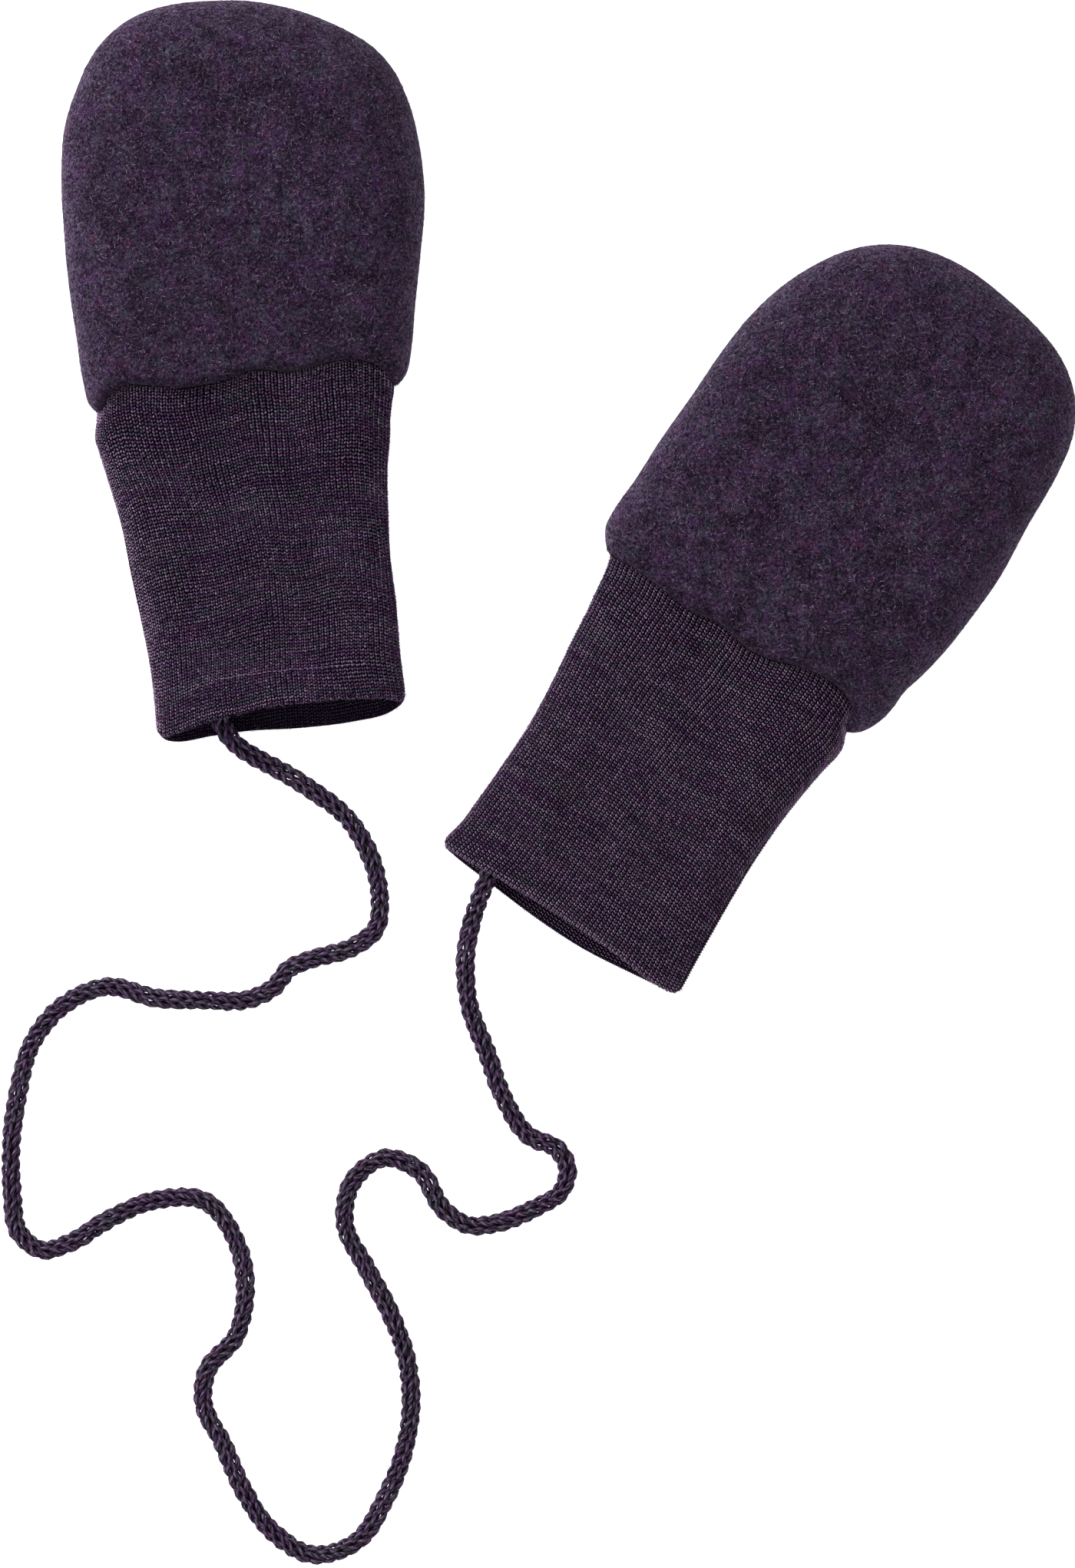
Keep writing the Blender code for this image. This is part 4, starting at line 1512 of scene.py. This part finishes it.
@dataclass
class Cuff:
    """One fine-knit cuff, laid stitch by stitch over a thin ground."""

    pattern: Pattern
    finish: KnitFinish
    flat_width: float = 130.0
    flat_length: float = 90.0
    course: float = 0.72
    tucked_courses: int = 2
    allowance: float = 6.0
    hem_courses: int = 12  # turned up inside the mouth
    inner_courses: int = 3  # of them, those that the upper half shows
    hem_steps: int = 5  # half courses round the hem's edge
    skin_samples: int = 240
    valley_depth: float = 0.9
    valley_reach: float = 0.7
    valley_shift: float = 0.05
    valley_fade: float = 7.0  # from the side folds inwards
    fold_light_reach: float = 3.0  # wales from a fold over which the fold's painted light fades
    fold_fade: float = 4.0  # wales from a fold in which the wander dies down
    wander: float = 0.11  # wales
    wander_size: float = 24.0
    sway: float = 0.45  # courses
    sway_size: float = 30.0
    narrow: float = 1.6  # how much narrower such a wave is in wales than it is high in courses
    chance: tuple = (0.03, 0.07, 0.025)  # spread of a leg in wales, in courses and upwards
    leg_stations: tuple = (0.0, 0.26, 0.70, 1.0)
    leg_lean: tuple = (0.05, 0.13, 0.27, 0.34)  # wales from the stitch's middle
    leg_rise: tuple = (-0.10, 0.32, 0.24, -0.22)
    # painted shade at a leg's tucked ends and painted light on its raised middle, by station
    leg_painted_shading: tuple = (-0.95, 0.26, 0.14, -1.15)
    back_knee: tuple = (0.5, 0.21)  # station and lean in the middle of a plainer leg
    leg_half_height: float = 0.17
    leg_sizes: float = 0.10  # their spread
    leg_sink: float = 0.42
    leg_start: float = -0.06  # courses
    leg_span: float = 1.14  # less by leg_gap in a firm knit
    leg_gap: float = 0.26
    tone: float = 0.32  # of a stitch without relief
    # painted light: stitches paler the more they stand out
    relief_painted_light: float = 0.18
    side_painted_light: float = 0.11  # painted light that makes a stitch's left leg paler and its right one darker
    tone_spread: float = 0.16
    hem_painted_highlight: float = 0.25  # painted highlight by which the turn of the hem is paler
    hem_highlight_courses: int = 4
    seam_courses: float = 4.0  # that get the painted highlight beside the seam
    ground_sink: float = 0.42
    ground_lift: float = 0.26  # of the ground towards the folds
    ground_reach: tuple = (3.0, 5.0)  # of that lift, from the side folds and from the hem
    ground_step: int = 7  # half courses
    ground_fine_step: int = 3
    ground_turns: tuple = (80, 55, 28)  # degrees round the hem
    hairs: int = 1400
    hair_length: float = 0.8
    hair_half_width: float = 0.022
    hair_widths: tuple = (0.7, 1.3)  # thinnest and thickest, shares of that
    hair_rise: float = 0.12
    hair_stop: int = 8  # half courses short of the tucked end
    hair_spread: tuple = (3.0, 1.6, 0.5)  # half wales from a fold, half courses from the hem, radians
    hem_pitch: float = 1.15
    hem_stitch: float = 0.95  # of the pitch
    hem_bow: tuple = (0.0016, 7.0, 0.03)  # how the row of hem stitches bends, its middle and its slope
    hem_jitter: float = 0.08
    hem_lift: tuple = (0.02, 0.08)
    hem_half_sizes: tuple = (0.12, 0.11)
    hem_course: float = 3.3  # of the melange's streaks that it takes
    hem_stitch_tone: tuple = (1.05, 0.1)
    seed: int = 5

    def half(self, front: bool, rows: Array) -> Array:
        """One half of the tube, its columns at equal steps round.

        Args:
            front: the upper half, or else the lower.
            rows: shares of the way from the hem to the seam.

        Returns:
            Points at every half wale, rows and x y z.
        """
        pattern = self.pattern
        share = (1 - np.cos(np.linspace(0, math.pi, self.skin_samples + 1))) / 2
        start = read_table(pattern.hem_front if front else pattern.hem_back, share)[:, None] + KNIT / 2
        wide = np.ptp(pattern.cuff_sections[0][1:3])
        for radius, inset in zip(pattern.hem_corners, (share * wide, (1 - share) * wide)):
            start += (radius - np.sqrt(radius**2 - np.clip(radius - inset, 0, None) ** 2))[:, None]
        seam = seam_line(pattern, share, front)[:, None]
        v = start + (seam - start) * rows
        skin, upright = cuff_skin(pattern, share[:, None], v, front, creased=True)
        into = np.clip((v - seam + self.valley_shift) / self.valley_reach + 1, 0, 1)
        inset = np.minimum(share, 1 - share)[:, None] * wide
        drop = self.valley_depth * (1 - np.sqrt(1 - into**2)) * upright * ease(inset / self.valley_fade)
        skin[..., 2] += -drop if front else drop
        length = lengths(skin)
        wanted = np.linspace(0, 1, pattern.wales + 1)[:, None] * length[-1]
        found = [read_line(wanted[:, row], length[:, row], skin[:, row]) for row in range(len(rows))]
        return np.stack(found, axis=1)

    def tube(self) -> tuple[Array, Array, int]:
        """Points of the tube's outside at every half wale and half course.

        Returns:
            The points, their outward normals, and the courses from hem to seam.
        """
        hem, seam = np.array(self.pattern.hem_front), np.array(self.pattern.seam_front)
        long = seam[:, 1].mean() - hem[:, 1].mean()
        courses = round(long / self.course)
        more = math.ceil(self.allowance / self.course)
        rows = np.arange(2 * (courses + more) + 1) / (2 * courses)
        outer = np.concatenate([self.half(True, rows), self.half(False, rows)[-2::-1]])
        return outer, normals(outer, closed=True), courses

    def hem_path(self, outer: Array, outward: Array) -> tuple[Array, Array]:
        """Carry the grid round the hem and into the mouth.

        Args:
            outer: points of the outside.
            outward: their normals.

        Returns:
            The longer grid, from deep in the mouth to the seam, and its normals.
        """
        radius = KNIT / 2
        ahead = unit(outer[:, 1] - outer[:, 0])
        middle = outer[:, 0] - radius * outward[:, 0]
        points, facing = [outer], [outward]
        for step in range(1, self.hem_steps):
            angle = math.pi * step / self.hem_steps
            out = math.cos(angle) * outward[:, 0] - math.sin(angle) * ahead
            points.insert(0, (middle + radius * out)[:, None])
            facing.insert(0, out[:, None])
        deep = slice(2 * self.hem_courses, None, -1)
        points.insert(0, outer[:, deep] - 2 * radius * outward[:, deep])
        facing.insert(0, -outward[:, deep])
        return np.concatenate(points, axis=1), np.concatenate(facing, axis=1)

    def skins(self, outer: Array, outward: Array, courses: int) -> tuple[Array, Array]:
        """Skins of the ground, rounded over at the hem.

        Args:
            outer: points of the tube's outside.
            outward: their normals.
            courses: courses from hem to seam.

        Returns:
            Its outer and its inner points.
        """
        last, fine = outer.shape[1] - 1, self.ground_fine_step
        turning = 2 * courses - self.ground_step - fine
        coarse = np.arange(self.ground_step, turning, self.ground_step)
        rows = np.unique(np.r_[0, fine, coarse, np.arange(turning + 1, last, fine), last])
        skin, core = outer[::2][:, rows], outward[::2][:, rows]
        half = len(skin) // 2
        from_fold = np.abs((np.arange(len(skin)) + len(skin) // 4) % half - len(skin) // 4)
        by_fold, by_hem = self.ground_reach
        lifted = np.maximum(bell(from_fold[:, None], by_fold), bell(rows, by_hem))
        sink = (self.ground_sink - self.ground_lift * lifted)[..., None]
        ahead = unit(skin[:, 1] - skin[:, 0])
        middle = skin[:, 0] - KNIT / 2 * core[:, 0]
        skins = []
        for side, depth in ((1, sink), (-1, KNIT - sink)):
            turned = []
            for degrees in self.ground_turns:
                angle = math.radians(degrees)
                out = side * math.cos(angle) * core[:, 0] - math.sin(angle) * ahead
                turned.append(middle + (KNIT / 2 - sink[:, 0]) * out)
            skins.append(np.concatenate([np.stack(turned, axis=1), skin - depth * core], axis=1))
        return skins[0], skins[1]

    def legs(self, grid: Array, facing: Array, front: bool, rows: Array) -> tuple:
        """Both legs of every stitch of one half.

        Args:
            grid: points at every half wale and half course.
            facing: their normals.
            front: the upper half, or else the lower.
            rows: the courses that get stitches.

        Returns:
            Paths, up vectors and marks of the legs, in the mitten's frame.
        """
        pattern = self.pattern
        draw = np.random.default_rng(self.seed + front)
        half = pattern.wales // 2
        first = 0 if front else half
        wale, course, hand = np.meshgrid(np.arange(first, first + half), rows, (-1, 1), indexing="ij")
        wale, course, hand = wale.ravel(), course.ravel(), hand.ravel()
        count = len(wale)
        keep = (0, 1, 2, 3) if front else (0, 1, 3)
        tables = self.leg_stations, self.leg_lean, self.leg_rise, self.leg_painted_shading
        share, lean, rise, tone = (np.array(table)[list(keep)] for table in tables)
        if not front:
            share[1], lean[1] = self.back_knee
        relief, uneven = pattern.relief, pattern.unevenness
        drift = uneven * self.wander * ripple(self.narrow * wale, course, self.wander_size, self.seed)
        sway = uneven * self.sway * ripple(self.narrow * wale, course, self.sway_size, self.seed + 1)
        edge = np.clip(np.minimum(wale - first, first + half - 1 - wale) / self.fold_fade, 0, 1)
        aside, onward, upward = self.chance
        across = (wale + 0.5 + drift * edge)[:, None] + hand[:, None] * (lean + pattern.spread)
        across = across + uneven * draw.normal(0, aside, (count, 1))
        along = (course + sway * edge + self.leg_start + 0.5 * pattern.stagger * hand)[:, None]
        along = along + (self.leg_span - self.leg_gap * relief) * share
        along = along + uneven * draw.normal(0, onward, (count, 1))
        row = np.clip(along * 2, 0, grid.shape[1] - 1.001)
        column = (across + read_table(pattern.cuff_twist, row / grid.shape[1])) * 2 % (grid.shape[0] - 1)
        up = unit(read_grid(facing, column, row))
        lift = relief * rise - self.leg_sink + draw.normal(0, upward, (count, 1))
        paths = read_grid(grid, column, row) + lift[..., None] * up
        # The stitch tone carries painted light and shade: paler the more a stitch stands out, one leg paler
        # than the other, and the marks below.
        own = self.tone + self.relief_painted_light * relief + draw.normal(0, self.tone_spread, count)
        own = own - self.side_painted_light * relief * hand
        inside = course < self.hem_courses
        # painted highlight on the courses just past the hem's turn
        turned = (course >= self.hem_courses) & (course < self.hem_courses + self.hem_highlight_courses)
        to_seam = (grid.shape[1] - 1) / 2 - self.allowance / self.course - course
        # painted light and shade inside the mouth, and painted highlight at the hem's turn
        own = own + pattern.mouth_painted_shading * inside + self.hem_painted_highlight * turned
        # painted highlight on the stitches that meet the seam
        own = own + pattern.seam_painted_highlight * bell(to_seam, self.seam_courses)
        # painted light along the side folds, fading inwards
        from_folds = np.minimum(wale, 2 * half - 1 - wale), np.abs(wale + 0.5 - half)
        for fold_light, wales in zip(pattern.fold_painted_light, from_folds):
            own = own + fold_light * np.exp(-wales / self.fold_light_reach)
        marks = np.empty((count, len(share), 3))
        marks[..., 0] = (wale + 0.25 + 0.25 * hand)[:, None]
        marks[..., 1] = course[:, None]
        # the legs' painted shade and light by station
        marks[..., 2] = own[:, None] + relief * tone
        return paths, up, marks

    def stitches(self, grid: Array, facing: Array, face: Face, rows: Array) -> Piece:
        """Lay the stitches of one half.

        Args:
            grid: points at every half wale and half course.
            facing: their normals.
            face: the half.
            rows: the courses that get stitches.

        Returns:
            The stitches as one object.
        """
        pattern = self.pattern
        paths, up, marks = self.legs(grid, facing, face is Face.FRONT, rows)
        draw = np.random.default_rng(self.seed + 7)
        size = draw.normal(1, self.leg_sizes, (len(paths), 1)) * np.ones(paths.shape[1]) * MM
        wide, high = pattern.leg_half_width * size, self.leg_half_height * size
        strands = Strands(pattern.to_world(paths), pattern.turned(up), wide, high)
        return strands.build(f"{pattern.name}_cuff_{face.value}_stitches", marks, "stitch")

    def fuzz(self, grid: Array, facing: Array) -> Piece:
        """Fine hairs along the side folds and round the hem.

        Args:
            grid: points at every half wale and half course.
            facing: their normals.

        Returns:
            The hairs as one object.
        """
        draw = np.random.default_rng(self.seed + 3)
        columns, rows = grid.shape[0] - 1, grid.shape[1] - 1
        folds, hem = self.hairs // 2, self.hairs - self.hairs // 2
        aside, onward, swing = self.hair_spread
        fold = draw.choice((0, columns // 2), folds) + draw.normal(0, aside, folds)
        column = np.r_[fold % columns, draw.random(hem) * columns]
        edge = 2 * self.hem_courses
        on_folds = draw.uniform(edge, rows - self.hair_stop, folds)
        row = np.r_[on_folds, edge + self.hem_steps / 2 + draw.normal(0, onward, hem)]
        foot, up = read_grid(grid, column, row), unit(read_grid(facing, column, row))
        turn = draw.normal(0, swing, self.hairs) + np.r_[np.full(folds, math.pi / 2), np.zeros(hem)]
        length = self.hair_length * draw.uniform(*HAIR_LENGTHS, self.hairs)
        paths = curled(draw, foot, up, turn, length, self.hair_rise)[:, (0, 2, 3)]
        wide = self.hair_half_width * draw.uniform(*self.hair_widths, (self.hairs, 1)) * np.ones(3) * MM
        tone = draw.random((self.hairs, 1)) * np.ones(3)
        above = self.pattern.turned(np.repeat(up[:, None], 3, axis=1))
        strands = Strands(self.pattern.to_world(paths), above, wide, wide)
        marks = np.stack([tone, tone, tone], axis=-1)
        return strands.build(f"{self.pattern.name}_cuff_fuzz", marks, "fibre")

    def hem_stitching(self) -> Piece:
        """Row of small stitches that holds the turned hem, where it shows.

        Returns:
            The stitching as one object.
        """
        draw = np.random.default_rng(self.seed)
        first, last, line = self.pattern.hem_seam
        bend, middle, slope = self.hem_bow
        u = np.arange(first, last, self.hem_pitch)
        share = np.linspace(-0.5, 0.5, 4)
        at = u[:, None] + share * self.hem_pitch * self.hem_stitch
        v = line - bend * (at - middle) ** 2 + slope * at + draw.normal(0, self.hem_jitter, (len(u), 1))
        left, right = np.moveaxis(read_table(self.pattern.cuff_sections, v), -1, 0)[:2]
        skin = cuff_skin(self.pattern, (at - left) / (right - left), v, True, creased=True)[0]
        skin[..., 2] += self.hem_lift[0] + self.hem_lift[1] * np.cos(math.pi * share)
        up = np.zeros_like(skin)
        up[..., 2] = 1
        wide, high = (half * (np.ones(skin.shape[:2]) * MM) for half in self.hem_half_sizes)
        middle_tone, spread = self.hem_stitch_tone
        tone = middle_tone + draw.normal(0, spread, (len(u), 1)) * np.ones(4)
        marks = np.stack([u[:, None] + 0 * tone, self.hem_course + 0 * tone, tone], axis=-1)
        strands = Strands(self.pattern.to_world(skin), up, wide, high)
        return strands.build(f"{self.pattern.name}_hem_stitching", marks, "stitch")

    def build(self) -> list[Piece]:
        """Build and dress the cuff.

        Returns:
            Its ground, its stitches and its fuzz.
        """
        name = self.pattern.name
        outer, outward, courses = self.tube()
        face, back = self.skins(outer, outward, courses)
        to_world = self.pattern.to_world
        ground = shell(f"{name}_cuff_ground", to_world(face), to_world(back))
        grid, facing = self.hem_path(outer, outward)
        last = self.hem_courses + self.hem_steps // 2 + courses + self.tucked_courses
        upper = np.arange(self.hem_courses - self.inner_courses, last)
        pieces = [
            self.stitches(grid, facing, Face.FRONT, upper),
            self.stitches(grid, facing, Face.BACK, np.arange(last)),
        ]
        if self.pattern.hem_seam:
            pieces.append(self.hem_stitching())
        finish_piece(ground, self.finish.ground(), f"{name}_cuff")
        yarn = self.finish.stitches()
        for piece in pieces:
            finish_piece(piece, yarn)
        fuzz = self.fuzz(grid, facing)
        finish_piece(fuzz, self.finish.fuzz())
        pieces.append(fuzz)
        return [ground, *pieces]


@dataclass
class Cord:
    """Cord knitted round in a tube of a few wales, from one yarn."""

    finish: YarnFinish
    route: tuple = CORD_ROUTE
    diameter: float = 4.1
    lift: float = 0.05
    wales: int = 4
    course: float = 2.85
    yarn_radius: float = 0.46
    plump: float = 0.22
    loop_height: float = 3.7
    loop_swing: float = 0.24
    loop_depth: float = 0.75
    loops: tuple = ((1, 0.12), (1, 0.16), (0, 0.05))  # middle and spread of their height, depth and slant
    segments: int = 12
    sides: int = 5
    # dark core along the cord's middle: painted shade that shows between the loops
    shadow_core_radius: float = 0.85
    shadow_core_sizes: float = 0.1  # their spread
    shadow_core_sides: int = 6
    shadow_core_step: int = 8
    shadow_core_mark: float = -0.05  # painted shade, as dark as the yarn's inner turns
    twist_length: float = 190.0
    seed: int = 3

    def middle(self, shares: Array) -> Array:
        """Find the cord's middle.

        Args:
            shares: shares of its length.

        Returns:
            The points there.
        """
        points = along_route(self.route, shares)
        points[:, 2] = np.maximum(points[:, 2], self.diameter / 2 + self.lift)
        return points

    def knit(self, draw: np.random.Generator, fine: Array) -> Piece:
        """Knit the yarn round and round along the cord.

        Args:
            draw: chance numbers.
            fine: points of the cord's middle.

        Returns:
            The yarn as one object.
        """
        length = lengths(fine)
        courses = int((length[-1] - self.loop_height) / self.course)
        t = np.arange(courses * self.wales * self.segments + 1) / self.segments
        knots = np.arange(0, courses * self.wales + 3, 1.0)
        tall, plump, slant = (smooth(knots, draw.normal(*about, len(knots)), t) for about in self.loops)
        along = self.course * t / self.wales - self.loop_height / 2 * tall * np.cos(2 * math.pi * t)
        along += (length[-1] - courses * self.course) / 2
        wander = 2 * math.pi * along / self.twist_length
        lean = t + self.loop_swing * np.sin(4 * math.pi * t) + slant
        turn = 2 * math.pi / self.wales * lean + wander
        inward = (1 + np.cos(4 * math.pi * t)) / 2
        reach = self.diameter / 2 + self.plump - self.yarn_radius - self.loop_depth * inward * plump
        ahead = unit(read_line(along, length, unit(np.gradient(fine, axis=0))))
        aside = unit(np.cross(ahead, (0, 0, 1)))
        above = np.cross(aside, ahead)
        out = np.cos(turn)[:, None] * above + np.sin(turn)[:, None] * aside
        path = read_line(along, length, fine) + reach[:, None] * out
        size = np.full((1, len(path)), self.yarn_radius * MM)
        # X: painted shade where the yarn turns inwards, 0 there
        marks = np.stack([1 - inward, along, 0 * along], axis=-1)
        strands = Strands(path[None] * MM, out[None], size, size, self.sides)
        LOG.info("cord: %.1f mm, %d courses", length[-1], courses)
        return strands.build("cord_yarn", marks[None], "stitch")

    def shadow_core(self, draw: np.random.Generator, fine: Array) -> Piece:
        """Lay a dark core along the cord's middle: painted shade that shows between the loops.

        Args:
            draw: chance numbers.
            fine: points of the cord's middle.

        Returns:
            That core as one object.
        """
        step = fine[:: self.shadow_core_step] * MM
        size = np.full((1, len(step)), self.shadow_core_radius * MM) * draw.normal(1, self.shadow_core_sizes, len(step))
        marks = np.full((1, len(step), 3), self.shadow_core_mark)
        up = np.tile((0.0, 0.0, 1.0), (1, len(step), 1))
        strands = Strands(step[None], up, size, size, self.shadow_core_sides)
        return strands.build("cord_shadow_core", marks, "stitch")

    def build(self) -> list[Piece]:
        """Returns:
            Its yarn and the dark core along its middle, painted shade between the loops.
        """
        draw = np.random.default_rng(self.seed)
        fine = self.middle(np.linspace(0, 1, CURVE_SAMPLES))
        total = lengths(fine)[-1]
        piece, shadow_core = self.knit(draw, fine), self.shadow_core(draw, fine)
        yarn = self.finish.yarn()
        finish_piece(piece, yarn, "cord")
        finish_piece(shadow_core, yarn)
        line = self.middle(np.linspace(0, 1, round(total))) * MM
        return [piece, shadow_core]


@dataclass
class Studio:
    """Camera, lights and floor."""

    frame_middle: tuple = (-6.7, -63.5)
    frame_height: float = 347.14
    sharp_height: float = 5.0
    camera_height: float = 1600.0
    sensor: float = 36.0
    clip_metres: tuple = (0.05, 50.0)
    floor_size: float = 8000.0
    key_at: tuple = (-1000.0, 520.0, 420.0)
    key_size: float = 700.0
    key_watts: float = 26.0
    sky: float = 1.05

    def camera(self) -> None:
        """Look straight down on the pair."""
        data = bpy.data.cameras.new("camera")
        data.sensor_width = self.sensor
        data.lens = self.sensor * (self.camera_height - self.sharp_height) / self.frame_height
        data.clip_start, data.clip_end = self.clip_metres
        found = place("camera", data)
        found.location = (self.frame_middle[0] * MM, self.frame_middle[1] * MM, self.camera_height * MM)
        bpy.context.scene.camera = found

    def light(self) -> None:
        """Hang a square soft light that faces the pair, under a white sky."""
        data = bpy.data.lights.new("key", "AREA")
        data.size, data.energy = self.key_size * MM, self.key_watts
        found = place("key", data)
        found.location = Vector(self.key_at) * MM
        aim = Vector((*self.frame_middle, 0)) * MM - found.location
        found.rotation_mode = "QUATERNION"
        found.rotation_quaternion = aim.to_track_quat("-Z", "Y")
        world = bpy.data.worlds.new("studio")
        world.use_nodes = True
        background = world.node_tree.nodes["Background"]
        background.inputs["Color"].default_value = (1.0, 1.0, 1.0, 1.0)
        background.inputs["Strength"].default_value = self.sky
        bpy.context.scene.world = world
        bpy.context.scene.view_settings.view_transform = "Standard"

    def floor(self, finish: FloorFinish) -> None:
        """Lay the floor.

        Args:
            finish: its paper.
        """
        bm = bmesh.new()
        bmesh.ops.create_grid(bm, x_segments=1, y_segments=1, size=self.floor_size / 2 * MM)
        mesh = bpy.data.meshes.new("floor")
        bm.to_mesh(mesh)
        bm.free()
        mesh.materials.append(finish.paper())
        place("floor", mesh)


def main() -> None:
    """Build the studio, the cord and both mittens."""
    logging.basicConfig(level=logging.INFO, format="%(name)s: %(message)s")
    effects = Effects()
    studio = Studio()
    studio.camera()
    pieces = Cord(YarnFinish(effects)).build()
    fleece, knit = FleeceFinish(effects), KnitFinish(effects)
    for pattern in (LEFT, RIGHT):
        front = HandPanel(pattern, Face.FRONT, fleece)
        back = HandPanel(pattern, Face.BACK, fleece, across=48, rows=40, fibres=4000, seed=12)
        pieces += front.build() + back.build() + Cuff(pattern, knit).build()
    studio.light()
    studio.floor(FloorFinish(effects))
    LOG.info("%d pieces, %d triangles", len(pieces), sum(triangles(piece) for piece in pieces))


if __name__ == "__main__":
    main()
